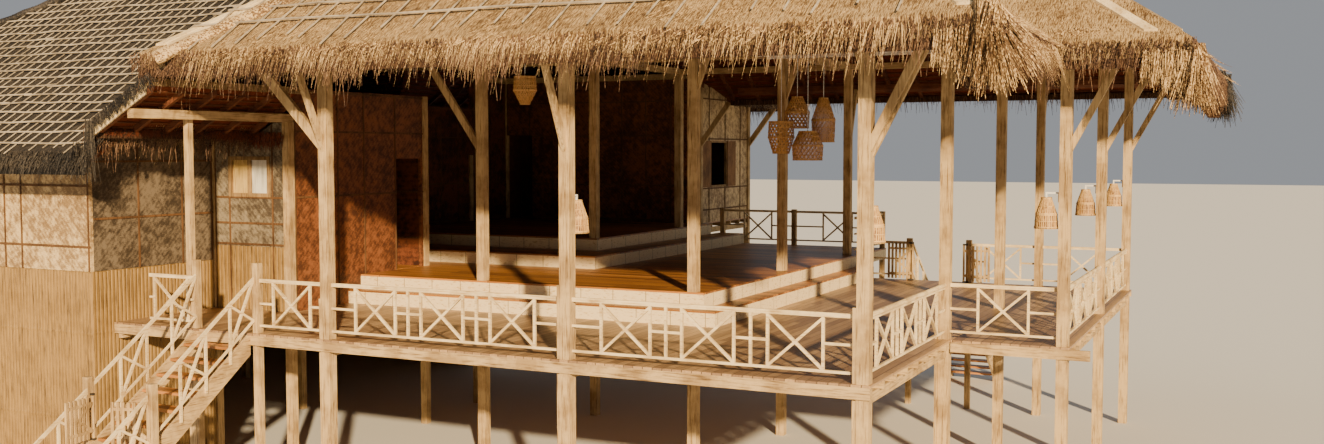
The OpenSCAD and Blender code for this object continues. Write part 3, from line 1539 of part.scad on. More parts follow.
// Each basket is [x, y, height of its mouth above the lower deck, height, mouth radius, top radius]
BASKETS = [
  [-3730, 7000, 2760, 570, 150, 225], [-3640, 7600, 3230, 570, 215, 100],
    [-3220, 7000, 2640, 510, 265, 160],
  [-3130, 7600, 2970, 800, 205, 80], [-6870, 3300, 3580, 450, 80, 180]];
hang_z = post_top;
module basket(b) {
  h = b[3];
  r = b[4];
  s = b[5];
  t = weave_t;
  translate([b[0], b[1], deck_h + b[2]]) rotate_extrude() polygon([
    [r, 0], [max(r, s) + 15, h * 0.5], [s, h], [0, h], [0, h - t], [s - t, h - t],
      [max(r, s) + 15 - t, h * 0.5], [r - t, 0]]);
}
module hanging_baskets() {
  color("tan") for (b = BASKETS) basket(b);
}
module basket_cords() {
  color("dimgray") {
    for (b = BASKETS) translate([b[0], b[1], deck_h + b[2] + b[3]])
      cylinder(d = cord_d, h = hang_z - 60 - deck_h - b[2] - b[3]);
  }
}
// Poles across the plates that carry the baskets
module hanging_poles() {
  color("peru") {
    for (b = [BASKETS[0], BASKETS[1]])
      box([col(1) - 100, b[1] - 30, hang_z - 60], [100, b[1] + 30, hang_z]);
    box([col(2) - 100, BASKETS[4][1] - 30, hang_z - 60], [col(1) + 100, BASKETS[4][1] + 30, hang_z]);
  }
}
module hangers() {
  lamp_arms();
  basket_cords();
  hanging_poles();
}

main_posts();
wing_posts();
newel_posts();
lower_decks();
upper_decks();
deck_steps();
inner_platform();
wing_floor();
riser_and_sleeper_boards();
floor_joists();
bearers();
edge_beams();
cross_plates();
tie_beams();
side_plates();
eave_purlins();
braces();
front_railings();
side_railings();
gallery_end_rails();
back_railings();
stair_treads();
stair_stringers();
stair_rails();
back_gate_left();
back_gate_right();
stair_gate_left();
stair_gate_right();
gate_pivots();
wing_front_wall();
wing_side_wall();
window_wall();
room_side_wall();
recess_walls();
rear_room_front_wall();
rear_room_side_wall();
window_frames();
rear_shutters();
outer_walls();
skirting();
front_thatch();
east_thatch();
west_thatch();
gallery_front_thatch();
gallery_east_thatch();
rear_thatch();
porch_thatch();
wing_front_thatch();
wing_back_thatch();
rear_room_thatch();
front_rafters();
side_rafters();
back_rafters();
eave_fringe();
roof_boards();
lamp_shades();
hanging_baskets();
hangers();
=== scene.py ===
import math
import random

import bpy
from mathutils import Euler, Matrix, Vector


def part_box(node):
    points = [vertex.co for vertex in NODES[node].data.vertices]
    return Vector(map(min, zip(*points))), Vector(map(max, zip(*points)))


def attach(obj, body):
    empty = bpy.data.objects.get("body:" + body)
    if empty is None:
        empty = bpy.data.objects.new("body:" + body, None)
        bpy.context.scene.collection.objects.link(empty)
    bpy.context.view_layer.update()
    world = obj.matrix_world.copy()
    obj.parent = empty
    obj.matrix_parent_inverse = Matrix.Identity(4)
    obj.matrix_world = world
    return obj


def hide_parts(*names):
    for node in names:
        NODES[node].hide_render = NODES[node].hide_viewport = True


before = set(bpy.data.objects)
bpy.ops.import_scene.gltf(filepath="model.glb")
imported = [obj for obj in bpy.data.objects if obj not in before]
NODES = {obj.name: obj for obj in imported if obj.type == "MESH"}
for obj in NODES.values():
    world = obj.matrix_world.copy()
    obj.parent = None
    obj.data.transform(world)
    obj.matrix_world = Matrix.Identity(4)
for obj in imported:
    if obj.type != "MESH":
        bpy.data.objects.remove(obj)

bl_info = {
    "name": "Thatched stilt hall",
    "version": (1, 0, 0),
    "blender": (4, 5, 0),
    "location": "3D View > Sidebar > Stilt hall",
    "description": "Straw, laths, battens, boards and finishes for the thatched stilt hall",
    "category": "Object",
}

HOUSE = "house"
# The lower deck's top above the ground, from the frame
DECK_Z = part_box("lower_decks")[1][2]
# Straw that hangs lower than this above the lower deck belongs to the wing
WING_EAVE = 2.9
UP = Vector((0, 0, 1))
# Strips and laths end to end overlap a little: a piece's length in steps
OVERLAP = 1.05


def linear(code):
    """A linear colour from an sRGB hex code."""
    parts = [int(code[i:i + 2], 16) / 255 for i in (1, 3, 5)]
    return [c / 12.92 if c <= 0.04045 else ((c + 0.055) / 1.055) ** 2.4 for c in parts] + [1.0]


def colour(label, note, code):
    """A colour property whose default is an sRGB hex code."""
    return bpy.props.FloatVectorProperty(
        name=label, description=note, subtype="COLOR", size=4, min=0, max=1, default=linear(code))


def length(label, note, metres):
    """A length property in metres."""
    return bpy.props.FloatProperty(
        name=label, description=note, default=metres, unit="LENGTH", min=0.001)


def angle(label, note, degrees):
    """An angle property, given in degrees."""
    return bpy.props.FloatProperty(
        name=label, description=note, default=math.radians(degrees), subtype="ANGLE")


class StrawSettings(bpy.types.PropertyGroup):
    """Sizes and colours of the thatch."""
    fresh: colour("Fresh straw", "Light parts of the hall's thatch", "#C9AA78")
    fresh_dark: colour("Shaded straw", "Dark parts of the hall's thatch", "#6E5030")
    # The tips' colours are weathered straw, darkened further as painted shade under the eaves
    tip: colour("Straw tips", "Light parts of the weathered straw ends under the eaves", "#70543D")
    tip_dark: colour("Shaded tips", "Dark parts of the weathered straw ends", "#3C2617")
    old: colour("Old straw", "Light parts of the wing's thatch", "#473F36")
    old_dark: colour("Old shaded straw", "Dark parts of the wing's thatch", "#201C19")
    # Painted shade: the dark red-brown of the thatch's faces that look down
    under: colour("Smoked straw", "The thatch seen from below", "#74371D")
    brow_length: length("Brow length", "Reach of the straws that lie over the eaves", 0.34)
    curtain_length: length("Curtain length", "Length of the straws that hang under the eaves", 0.17)
    tip_length: length("Tip length", "Length of the longest straws that hang from the eaves", 0.34)
    coat_length: length("Coat length", "Length of the straws on the slopes", 0.30)
    straw: length("Straw", "Radius of a bundle of straws at its root", 0.006)
    bundle_length: length("Bundle length", "Length of the straws in the corner bundles", 0.95)
    roll: length("Roll", "Radius of the straw rolls along hips and ridges", 0.16)


class TimberSettings(bpy.types.PropertyGroup):
    """Sizes and colours of the posts, boards and laths."""
    weathered: colour("Weathered timber", "Light grain of the posts and beams", "#C2A474")
    weathered_dark: colour("Weathered grain", "Dark grain of the posts and beams", "#745834")
    pale: colour("Pale timber", "Light grain of the rails and risers", "#E4CDA0")
    pale_dark: colour("Pale grain", "Dark grain of the rails and risers", "#B8955F")
    deck: colour("Deck", "Light grain of the deck planks", "#BF7F3A")
    deck_dark: colour("Deck grain", "Dark grain of the deck planks", "#744720")
    # Painted shade: the rafters' and battens' brown is darkened further for the shade under the roof
    smoked: colour("Shadowed timber", "Light grain of rafters and battens", "#6F4127")
    smoked_dark: colour("Shadowed grain", "Dark grain of rafters and battens", "#381B0F")
    bleached: colour("Bleached laths", "Light grain of the laths on the thatch", "#B8A992")
    bleached_dark: colour("Bleached grain", "Dark grain of the laths on the thatch", "#786B59")
    brown: colour("Brown battens", "Light grain of the battens on the walls", "#6A4A2C")
    brown_dark: colour("Brown grain", "Dark grain of the battens on the walls", "#3B2614")
    lath: length("Lath", "Width of the laths on the thatch", 0.027)
    lath_pitch: length("Lath pitch", "Distance from lath to lath on the wing", 0.30)
    stick_pitch: length("Stick pitch", "Distance from stick to stick on the wing", 0.21)
    batten: length("Batten", "Width of the battens on the walls", 0.034)
    batten_pitch: length("Batten pitch", "Distance between the battens under the thatch", 0.26)
    plank: length("Plank", "Width of a deck plank", 0.14)
    riser: length("Riser board", "Length of one riser board", 0.62)


class WallSettings(bpy.types.PropertyGroup):
    """Sizes and colours of the woven walls."""
    light: colour("Light weave", "Light strips of the outer walls", "#CFB382")
    light_dark: colour("Light weave's shade", "Dark strips of the outer walls", "#8A6E49")
    brown: colour("Brown weave", "Light strips of the inner walls", "#85502C")
    brown_dark: colour("Brown weave's shade", "Dark strips of the inner walls", "#4E2C17")
    # Painted shade: the dark weave of the recess and of the wall faces that look into the rooms
    smoked: colour("Smoked weave", "Light strips of the recess's walls", "#6E3B20")
    smoked_dark: colour("Smoked weave's shade", "Dark strips of the recess's walls", "#371B0E")
    # The skirting's golden-brown bamboo is darkened further as painted shade
    bamboo: colour("Split bamboo", "Light parts of the skirting", "#937341")
    bamboo_dark: colour("Split bamboo's shade", "Dark parts of the skirting", "#4F3B22")
    weave: length("Weave", "Width of a woven strip", 0.024)
    strip: length("Skirting strip", "Width of an upright bamboo strip", 0.075)


class StageSettings(bpy.types.PropertyGroup):
    """Floor, lights and camera."""
    floor: colour("Floor", "The plain floor", "#D9D5CD")
    lens: bpy.props.FloatProperty(
        name="Lens", description="Focal length in millimetres", default=34.15, min=10)
    eye: bpy.props.FloatVectorProperty(
        name="Eye", description="Place of the camera", subtype="TRANSLATION", unit="LENGTH",
        default=(4.422, -14.535, DECK_Z + 2.809))
    pitch: angle("Pitch", "Tilt of the camera below level", 3.26)
    heading: angle("Heading", "Turn of the camera to the left", 26.14)


# Materials -----------------------------------------------------------------

WHITE = (1, 1, 1, 1)
# Settings of a Mix node that mixes two colours, and of one that multiplies them
MIX = {"data_type": "RGBA", "out": 2}
MULTIPLY = {**MIX, "blend_type": "MULTIPLY"}


def add(tree, kind, *feeds, out=0, stops=(), **settings):
    """Adds a shader node and returns one of its outputs.

    kind may name an operation too. feeds go to the inputs in order, and settings to the inputs or
    properties of their names; stops are a colour ramp's places and colours. Sockets are linked."""
    kind, _, operation = kind.partition(" ")
    node = tree.nodes.new("ShaderNode" + kind)
    if operation:
        node.operation = operation
    sockets = {socket.identifier.replace(" ", "_"): socket for socket in node.inputs}
    fills = list(zip(node.inputs, feeds))
    for key, value in settings.items():
        if key in sockets:
            fills.append((sockets[key], value))
        else:
            setattr(node, key, value)
    for socket, value in fills:
        if isinstance(value, bpy.types.NodeSocket):
            tree.links.new(value, socket)
        else:
            socket.default_value = value
    if stops:
        points = node.color_ramp.elements
        while len(points) < len(stops):
            points.new(0.5)
        for point, (spot, shade) in zip(points, stops):
            point.position, point.color = spot, shade
    return node.outputs[out]


def begin(name, rough, specular):
    """A new material; returns it with its tree and its object coordinates."""
    material = bpy.data.materials.new(name)
    material.use_nodes = True
    inputs = material.node_tree.nodes["Principled BSDF"].inputs
    inputs["Roughness"].default_value = rough
    inputs["Specular IOR Level"].default_value = specular
    return material, material.node_tree, add(material.node_tree, "TexCoord", out="Object")


def close(material, tone, height, strength, depth):
    """Links a colour and a bump of a depth in metres to the material's shader."""
    tree = material.node_tree
    inputs = tree.nodes["Principled BSDF"].inputs
    tree.links.new(tone, inputs["Base Color"])
    tree.links.new(add(tree, "Bump", Height=height, Strength=strength, Distance=depth), inputs["Normal"])
    return material


def per_metre(size):
    """How many features of a size in millimetres fit into a metre, to two digits."""
    return float(f"{1000 / size:.2g}")


def on_axis(axis, along, across):
    """A value for each axis: one along the given axis, another across it."""
    return tuple(along if name == axis else across for name in "xyz")


def grain(tree, place, size, detail=4.0, rough=0.6):
    """Noise whose features have a size in millimetres, or one size for each axis."""
    scale = 1.0
    if isinstance(size, tuple):
        place = add(tree, "Mapping", place, Scale=[per_metre(part) for part in size])
    else:
        scale = per_metre(size)
    return add(tree, "TexNoise", place, Scale=scale, Detail=detail, Roughness=rough)


def weighted(tree, *terms):
    """The sum of values, each times its weight."""
    (value, weight), *rest = terms
    share = add(tree, "Math MULTIPLY", value, weight)
    return add(tree, "Math ADD", share, weighted(tree, *rest)) if rest else share


def facing(tree, axis):
    """How far a surface faces along an axis, from -1 to 1."""
    return add(tree, "SeparateXYZ", add(tree, "TexCoord", out="Normal"), out=axis)


def darker(shade, factor):
    """A darker copy of a colour."""
    return [c * factor for c in shade[:3]] + [1.0]


def straw_material(name, colours, across, under):
    """Thatch of dry straw, matt and streaked down the slope, with painted shade in dark red-brown
    underneath.
    """
    light, dark = colours
    material, tree, place = begin(name, 0.85, 0.2)
    # Stalks are drawn 11 mm wide, because real ones of 3 mm are too fine to show; rows are 45 mm high
    stalks = grain(tree, place, on_axis(across, 11.1, 111), 6.0, 0.7)
    patches = grain(tree, place, 700, 5.0, 0.65)
    rows = grain(tree, place, on_axis("z", 45, 333), 3.0)
    body = add(tree, "ValToRGB", weighted(tree, (stalks, 0.8), (patches, 0.2)), stops=(
        (0.38, darker(dark, 0.45)), (0.46, dark), (0.56, light), (0.68, light)))
    worn = add(tree, "ValToRGB", rows, stops=((0.4, (0.72, 0.70, 0.68, 1)), (0.62, WHITE)))
    above = add(tree, "Mix", Factor_Float=0.6, A_Color=body, B_Color=worn, **MULTIPLY)
    # Painted shade: faces that look down take the dark underside colour
    below = add(tree, "ValToRGB", stalks, stops=((0.35, darker(under, 0.5)), (0.6, under)))
    down = add(tree, "Math LESS_THAN", facing(tree, "Z"), -0.3)
    tone = add(tree, "Mix", Factor_Float=down, A_Color=above, B_Color=below, **MIX)
    return close(material, tone, add(tree, "Math ADD", stalks, rows), 0.9, 0.03)


def fringe_material(name, hall, wing, height):
    """Straw ends under the eaves, in upright streaks; those below a height are the wing's older ones."""
    material, tree, place = begin(name, 0.85, 0.2)
    stalks = grain(tree, place, on_axis("z", 200, 14.3), 5.0, 0.7)
    fresh, old = [
        add(tree, "ValToRGB", stalks, stops=((0.38, darker(dark, 0.6)), (0.5, dark), (0.64, light)))
        for light, dark in (hall, wing)]
    aged = add(tree, "Math LESS_THAN", add(tree, "SeparateXYZ", place, out="Z"), height)
    tone = add(tree, "Mix", Factor_Float=aged, A_Color=fresh, B_Color=old, **MIX)
    return close(material, tone, stalks, 0.9, 0.02)


def stalk_material(name, colours):
    """Single dry stalks with a faint sheen, each a little different in colour."""
    light, dark = colours
    material, tree, place = begin(name, 0.7, 0.3)
    change = grain(tree, place, 29, 2.0)
    # The darkest stops are partly the stalks' own colour, partly painted shade between the stalks
    tone = add(tree, "ValToRGB", weighted(tree, (change, 0.6), (grain(tree, place, 900, 3.0), 0.4)), stops=(
        (0.38, darker(dark, 0.6)), (0.47, dark), (0.55, light), (0.70, light)))
    return close(material, tone, change, 0.3, 0.004)


def timber_material(name, colours, axis, rough=0.75, wear=0.5):
    """Sawn timber or split bamboo, dry and dull, with streaks along an axis and weathered patches."""
    light, dark = colours
    material, tree, place = begin(name, rough, 0.3)
    streaks = grain(tree, place, on_axis(axis, 400, 24), 7.0, 0.65)
    tone = add(tree, "ValToRGB", streaks, stops=((0.32, dark), (0.5, light), (0.7, light)))
    weather = add(tree, "ValToRGB", grain(tree, place, 450), stops=(
        (0.38, darker(light, 0.55)), (0.56, WHITE)))
    tone = add(tree, "Mix", Factor_Float=wear, A_Color=tone, B_Color=weather, **MULTIPLY)
    return close(material, tone, streaks, 0.5, 0.006)


def plank_material(name, colours, width, axis):
    """Deck planks worn smooth by feet, which shine a little, with dark joints between them."""
    light, dark = colours
    material, tree, place = begin(name, 0.42, 0.5)
    turn = (0, 0, math.radians(90) if axis == "y" else 0)
    # Planks 2.4 m long with joints of 6 mm
    planks = add(
        tree, "TexBrick", add(tree, "Mapping", place, Rotation=turn, Scale=(1, 1, 0)), Color1=light,
        Color2=dark, Mortar=darker(dark, 0.25), Scale=1.0, Mortar_Size=0.006, Mortar_Smooth=0.3,
        Brick_Width=2.4, Row_Height=width, Bias=0.0, offset=0.37)
    joints = planks.node.outputs["Fac"]
    streaks = grain(tree, place, on_axis(axis, 400, 24), 6.0)
    worn = add(tree, "ValToRGB", streaks, stops=((0.3, (0.62, 0.58, 0.55, 1)), (0.6, WHITE)))
    tone = add(tree, "Mix", Factor_Float=0.8, A_Color=planks, B_Color=worn, **MULTIPLY)
    height = add(tree, "Math SUBTRACT", add(tree, "Math MULTIPLY", streaks, 0.2), joints)
    return close(material, tone, height, 0.6, 0.006)


def riser_material(name, colours, board):
    """Pale planed boards end to end, a soft sheen on them, with an upright joint between them."""
    light, dark = colours
    material, tree, place = begin(name, 0.6, 0.35)
    streaks = grain(tree, place, on_axis("z", 25, 83), 6.0)
    tone = add(tree, "ValToRGB", streaks, stops=((0.30, dark), (0.46, light), (0.7, light)))
    # The joints follow the riser's own direction, found from the way it faces
    across, along = (add(tree, "SeparateXYZ", place, out=axis) for axis in "XY")
    sideways = add(tree, "Math GREATER_THAN", add(tree, "Math ABSOLUTE", facing(tree, "X")), 0.5)
    run = weighted(tree, (along, sideways), (across, add(tree, "Math SUBTRACT", 1, sideways)))
    share = add(tree, "Math FRACT", add(tree, "Math DIVIDE", run, board))
    seen = add(tree, "Math GREATER_THAN", share, 0.018)
    tone = add(tree, "Mix", Factor_Float=seen, A_Color=darker(dark, 0.35), B_Color=tone, **MIX)
    return close(material, tone, add(tree, "Math ADD", seen, streaks), 0.4, 0.008)


def weave_material(name, colours, cell, axis, inside=None):
    """Split bamboo woven two over and two under, smooth but dulled by dust, stained in patches.

    axis is the wall's direction, and inside the colour of the painted shade on its faces that look into the
    rooms."""
    light, dark = colours
    material, tree, place = begin(name, 0.62, 0.35)
    turn = (0, 0, math.radians(90) if axis == "y" else 0)
    flat = add(tree, "Mapping", place, Rotation=turn, Scale=[1 / cell] * 3)
    across, up = (add(tree, "SeparateXYZ", flat, out=side) for side in "XZ")
    # Each strip passes over two and under two, one step further on in each row
    crossing = add(tree, "Math ADD", add(tree, "Math FLOOR", across), add(tree, "Math FLOOR", up))
    step = add(tree, "Math MODULO", add(tree, "Math ADD", crossing, 4000), 4)
    over = add(tree, "Math GREATER_THAN", step, 1.5)
    height = weighted(
        tree, (over, add(tree, "Math PINGPONG", across, 0.5)),
        (add(tree, "Math SUBTRACT", 1, over), add(tree, "Math PINGPONG", up, 0.5)))
    fine = grain(tree, place, (16.7, 16.7, 16.7), 3.0)
    tone = weighted(
        tree, (over, 0.03), (grain(tree, place, (111, 111, 111), 5.0), 0.45), (fine, 0.25),
        (grain(tree, place, 900, 5.0, 0.7), 0.42))
    shade = add(tree, "ValToRGB", tone, stops=(
        (0.40, darker(dark, 0.6)), (0.52, dark), (0.64, light), (0.8, light)))
    if inside is not None:
        # Painted shade on the faces that look into the rooms, which lie to the east and the front
        inner = add(tree, "Math GREATER_THAN", add(
            tree, "Math SUBTRACT", facing(tree, "X"), facing(tree, "Y")), 0.5)
        smoked = add(tree, "ValToRGB", tone, stops=((0.5, darker(inside, 0.5)), (0.65, inside)))
        shade = add(tree, "Mix", Factor_Float=inner, A_Color=shade, B_Color=smoked, **MIX)
    height = add(tree, "Math ADD", weighted(tree, (height, 0.16)), fine)
    return close(material, shade, height, 0.5, 0.006)


def basket_material(name, colours):
    """Upright straw strips of a lamp shade with darker gaps, dull as dry straw is."""
    light, dark = colours
    material, tree, place = begin(name, 0.6, 0.35)
    strips = grain(tree, place, on_axis("z", 167, 9.1))
    height = weighted(tree, (strips, 0.6), (grain(tree, place, 38, 3.0), 0.4))
    tone = add(tree, "ValToRGB", height, stops=((0.42, dark), (0.56, light)))
    return close(material, tone, height, 0.6, 0.008)


def all_materials(scene):
    """Every finish of the hall, by a short key."""
    straw, wood, wall = scene.hall_straw, scene.hall_timber, scene.hall_walls

    def both(group, key):
        """A light colour of the settings and the dark one that goes with it."""
        return getattr(group, key), getattr(group, key + "_dark")

    def pair(*codes):
        """A light and a dark colour from their codes."""
        return [linear(code) for code in codes]

    fresh, old, tips = (both(straw, key) for key in ("fresh", "old", "tip"))
    weathered, pale, smoked = (both(wood, key) for key in ("weathered", "pale", "smoked"))
    light, brown = both(wall, "light"), both(wall, "brown")
    weave = wall.weave
    return {
        "straw_x": straw_material("Dry straw, front and rear", fresh, "x", straw.under),
        "straw_y": straw_material("Dry straw, sides", fresh, "y", straw.under),
        "old_straw_x": straw_material("Old grey straw, front and rear", old, "x", straw.under),
        "old_straw_y": straw_material("Old grey straw, sides", old, "y", straw.under),
        "fringe": fringe_material(
            "Hanging straw ends", tips, (straw.old_dark, darker(straw.old_dark, 0.5)), DECK_Z + WING_EAVE),
        "stalks": stalk_material("Dry stalks", fresh),
        # The tips: weathered straw, darkened further as painted shade under the eaves
        "tips": stalk_material("Weathered straw tips", tips),
        "old_stalks": stalk_material("Old stalks", old),
        # Painted shade: the darkest tip and underside colours, for the straw under the porch's eave
        "dark_stalks": stalk_material("Smoked straw ends", (straw.tip_dark, straw.under)),
        "post": timber_material("Weathered post timber", weathered, "z"),
        "beam_x": timber_material("Weathered beams along the front", weathered, "x"),
        "beam_y": timber_material("Weathered beams along the side", weathered, "y"),
        "pale_x": timber_material("Pale rails along the front", pale, "x"),
        "pale_y": timber_material("Pale rails along the side", pale, "y"),
        # Painted shade: the timbers under the roof are darkened for the shade there
        "smoked_x": timber_material("Smoked battens along the front", smoked, "x"),
        "smoked_y": timber_material("Smoked rafters along the side", smoked, "y"),
        "bleached_x": timber_material("Bleached laths", both(wood, "bleached"), "x"),
        "batten": timber_material("Brown wall battens", both(wood, "brown"), "z"),
        "shutter": timber_material("Shutter boards", pair("#8A6238", "#4A2E18"), "z"),
        "frame": timber_material("Window frame timber", pair("#9A7C52", "#5F4729"), "z"),
        "deck": plank_material("Weathered deck planks", pair("#BC986C", "#86674A"), wood.plank, "y"),
        "deck_x": plank_material("Step planks", both(wood, "deck"), wood.plank, "x"),
        "riser": riser_material("Pale riser boards", pale, wood.riser),
        "weave_x": weave_material("Light woven bamboo, front walls", light, weave, "x"),
        "weave_y": weave_material("Light woven bamboo, side walls", light, weave, "y"),
        "brown_x": weave_material("Brown woven bamboo, front walls", brown, weave, "x"),
        "brown_y": weave_material("Brown woven bamboo, side walls", brown, weave, "y"),
        # The porch's walls: partly weathered grey bamboo, partly painted shade
        "worn_shadowed_x": weave_material("Worn woven bamboo, porch front", pair("#877962", "#4B3F32"), weave, "x"),
        "worn_shadowed_y": weave_material("Worn woven bamboo, porch side", pair("#726350", "#3E3327"), weave, "y"),
        # Painted shade on the faces that look into the rooms
        "outer_y": weave_material("Light woven bamboo, smoked inside", light, weave, "y", wall.smoked),
        # Painted shade: the recess's walls are dark
        "dark_y": weave_material(
            "Smoked woven bamboo, sides of the recess", both(wall, "smoked"), weave, "y"),
        "bamboo": timber_material("Split bamboo strips", both(wall, "bamboo"), "z", 0.55, 0.25),
        "basket": basket_material("Straw lamp shade", (linear("#AD824C"), wall.brown_dark)),
        # Painted shade: the baskets' solids are dark brown, for the shade inside them
        "hollow": timber_material("Dark inside of the baskets", pair("#5C3D22", "#2E1B0E"), "z", 0.8),
        "cane": timber_material("Split cane strips", pair("#D9A866", "#8E6030"), "z", 0.55, 0.3),
        "shade": timber_material("Straw ribs of the lamp shades", pair("#D3AC70", "#8E6838"), "z", 0.6, 0.3),
        "pivot": timber_material("Dark gate pivots", pair("#4A423A", "#2A2622"), "z", 0.6),
        "blind_warm": timber_material("Yellow straw blind", pair("#C7A868", "#9A7A42"), "z", 0.8, 0.2),
        "blind_pale": timber_material("Pale cloth blind", pair("#D5CFC0", "#A8A294"), "z", 0.8, 0.2),
        "white": timber_material("White lamp arm", pair("#E6E2DA", "#BDB6AA"), "x", 0.5, 0.2),
    }


MATERIALS = {}

# The CAD nodes of each finish
FINISH_NODES = {
    "post": "main_posts wing_posts newel_posts braces back_gate_left back_gate_right stair_gate_left "
            "stair_gate_right",
    "beam_x": "floor_joists edge_beams cross_plates",
    "beam_y": "bearers tie_beams side_plates stair_stringers",
    "pale_x": "front_railings gallery_end_rails back_railings",
    "pale_y": "side_railings stair_rails roof_boards",
    "smoked_x": "eave_purlins side_rafters back_rafters",
    "smoked_y": "front_rafters",
    "deck": "lower_decks",
    "deck_x": "upper_decks inner_platform wing_floor deck_steps stair_treads",
    "riser": "riser_and_sleeper_boards", "pivot": "gate_pivots", "weave_x": "wing_front_wall",
    "weave_y": "rear_room_side_wall", "worn_shadowed_x": "window_wall", "worn_shadowed_y": "wing_side_wall",
    "brown_x": "rear_room_front_wall", "brown_y": "room_side_wall", "dark_y": "recess_walls",
    "outer_y": "outer_walls", "bamboo": "skirting", "frame": "window_frames", "shutter": "rear_shutters",
    "straw_x": "front_thatch rear_thatch gallery_front_thatch",
    "straw_y": "east_thatch west_thatch gallery_east_thatch porch_thatch rear_room_thatch",
    "old_straw_x": "wing_front_thatch", "old_straw_y": "wing_back_thatch", "fringe": "eave_fringe",
    "basket": "lamp_shades", "hollow": "hanging_baskets", "white": "hangers",
}


# Modelling -----------------------------------------------------------------

def clear_selection():
    """Leaves edit mode and selects nothing."""
    if bpy.context.object and bpy.context.object.mode != "OBJECT":
        bpy.ops.object.mode_set(mode="OBJECT")
    bpy.ops.object.select_all(action="DESELECT")


def primitive(shape, **options):
    """Adds a primitive at its place, alone and in edit mode."""
    clear_selection()
    getattr(bpy.ops.mesh, f"primitive_{shape}_add")(**options)
    bpy.ops.object.transform_apply(location=True, rotation=True, scale=True)
    bpy.ops.object.mode_set(mode="EDIT")


def cut(axis, places, **options):
    """Cuts the mesh in edit mode square to an axis at each place."""
    for place in places:
        bpy.ops.mesh.select_all(action="SELECT")
        bpy.ops.mesh.bisect(plane_co=[place * part for part in axis], plane_no=axis, **options)


def take(bend):
    """The edited object's vertices and faces as plain lists, each vertex bent; the object goes."""
    bpy.ops.object.mode_set(mode="OBJECT")
    obj = bpy.context.object
    mesh = obj.data
    stock = ([v.co.copy() for v in mesh.vertices], [tuple(p.vertices) for p in mesh.polygons])
    for point in stock[0]:
        bend(point)
    bpy.data.objects.remove(obj)
    bpy.data.meshes.remove(mesh)
    return stock


def timber_stock(wave, seed, cuts):
    """A timber one unit long along X and one unit square, a little uneven at each cut."""
    primitive("cube", size=1, location=(0.5, 0, 0))
    cut((1, 0, 0), [k / cuts for k in range(1, cuts)])
    rng = random.Random(seed)
    drift = [(rng.uniform(-wave, wave), rng.uniform(-wave, wave)) for _ in range(cuts + 1)]

    def bend(point):
        side, rise = drift[round(point.x * cuts)]
        point.y += side
        point.z += rise

    return take(bend)


def draw(rng, part):
    """A number: drawn between the limits of a pair, chosen from a list, or as it is."""
    if isinstance(part, tuple):
        return rng.uniform(*part)
    return rng.choice(part) if isinstance(part, list) else part


def straw_stock(count, seed, root, way, span, reach, radius, tip=0.15, skew=1, cuts=(), sag=0.0):
    """A clump of tapering stalks. root and way are a stalk's place and direction on each axis.

    A stalk's length is span times a share between the limits of reach; with a skew short ones are
    more common. Past the first of the cuts along Y the stalks sag more and more."""
    rng = random.Random(seed)
    for k in range(count):
        start = Vector([draw(rng, part) for part in root])
        aim = Vector([draw(rng, part) for part in way]).normalized()
        size = span * (reach[0] + (reach[1] - reach[0]) * rng.random() ** skew)
        cone = dict(vertices=3, radius1=radius * rng.uniform(0.6, 1.3), radius2=radius * tip, depth=size,
                    end_fill_type="NOTHING", location=start + aim * size / 2,
                    rotation=aim.to_track_quat("Z", "Y").to_euler())
        if k == 0:
            primitive("cone", **cone)
        else:
            bpy.ops.mesh.primitive_cone_add(**cone)
    cut((0, 1, 0), cuts)

    def bend(point):
        if cuts:
            point.z -= sag * max(0.0, point.y - cuts[0]) ** 2

    return take(bend)


def straw_stocks(number, count, seed, *shape, **options):
    """Several clumps of one kind."""
    return [straw_stock(count, seed + k, *shape, **options) for k in range(number)]


def straw_fan(count, seed, spread, outward, drop, span, radius, root=0.08):
    """A bundle that opens downwards; spread is its reach to either side, outward its reach away."""
    way = (spread, outward, (-drop * 0.8, -drop * 1.25))
    return straw_stock(
        count, seed, ((-root, root), (-root, root), (-0.06, 0.08)), way, span, (0.6, 1.05), radius, 0.4)


def repeat(name, finish, copies, body=HOUSE):
    """One piece from many copies; each copy is a stock and the matrix that places it."""
    points, faces = [], []
    for (verts, polys), matrix in copies:
        base = len(points)
        points.extend(matrix @ v for v in verts)
        flip = matrix.determinant() < 0
        faces.extend(tuple(base + i for i in (reversed(p) if flip else p)) for p in polys)
    mesh = bpy.data.meshes.new(name)
    mesh.from_pydata(points, [], faces)
    mesh.materials.append(MATERIALS[finish])
    obj = bpy.data.objects.new(name, mesh)
    bpy.context.collection.objects.link(obj)
    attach(obj, body)
    return obj


def pose(origin, x_axis, y_axis, z_axis=UP, scale=1.0):
    """A matrix from an origin and three axes."""
    turn = Matrix((Vector(x_axis), Vector(y_axis), Vector(z_axis))).transposed().to_4x4()
    return Matrix.Translation(Vector(origin)) @ turn @ Matrix.Scale(scale, 4)


def bar(start, end, width, depth, normal, lift=0.0):
    """The matrix that lays a unit timber from start to end, flat side square to normal."""
    normal = Vector(normal).normalized()
    start, end = Vector(start) + normal * lift, Vector(end) + normal * lift
    along = (end - start).normalized()
    side = normal.cross(along).normalized()
    turn = pose(start, along, side, along.cross(side))
    return turn @ Matrix.Diagonal(((end - start).length, width, depth, 1))


def parts_of(node):
    """The vertices of a node's separate solids, one list each."""
    mesh = NODES[node].data
    owner = list(range(len(mesh.vertices)))

    def root(i):
        while owner[i] != i:
            owner[i] = owner[owner[i]]
            i = owner[i]
        return i

    for edge in mesh.edges:
        owner[root(edge.vertices[0])] = root(edge.vertices[1])
    groups = {}
    for i, v in enumerate(mesh.vertices):
        groups.setdefault(root(i), []).append(v.co.copy())
    return list(groups.values())


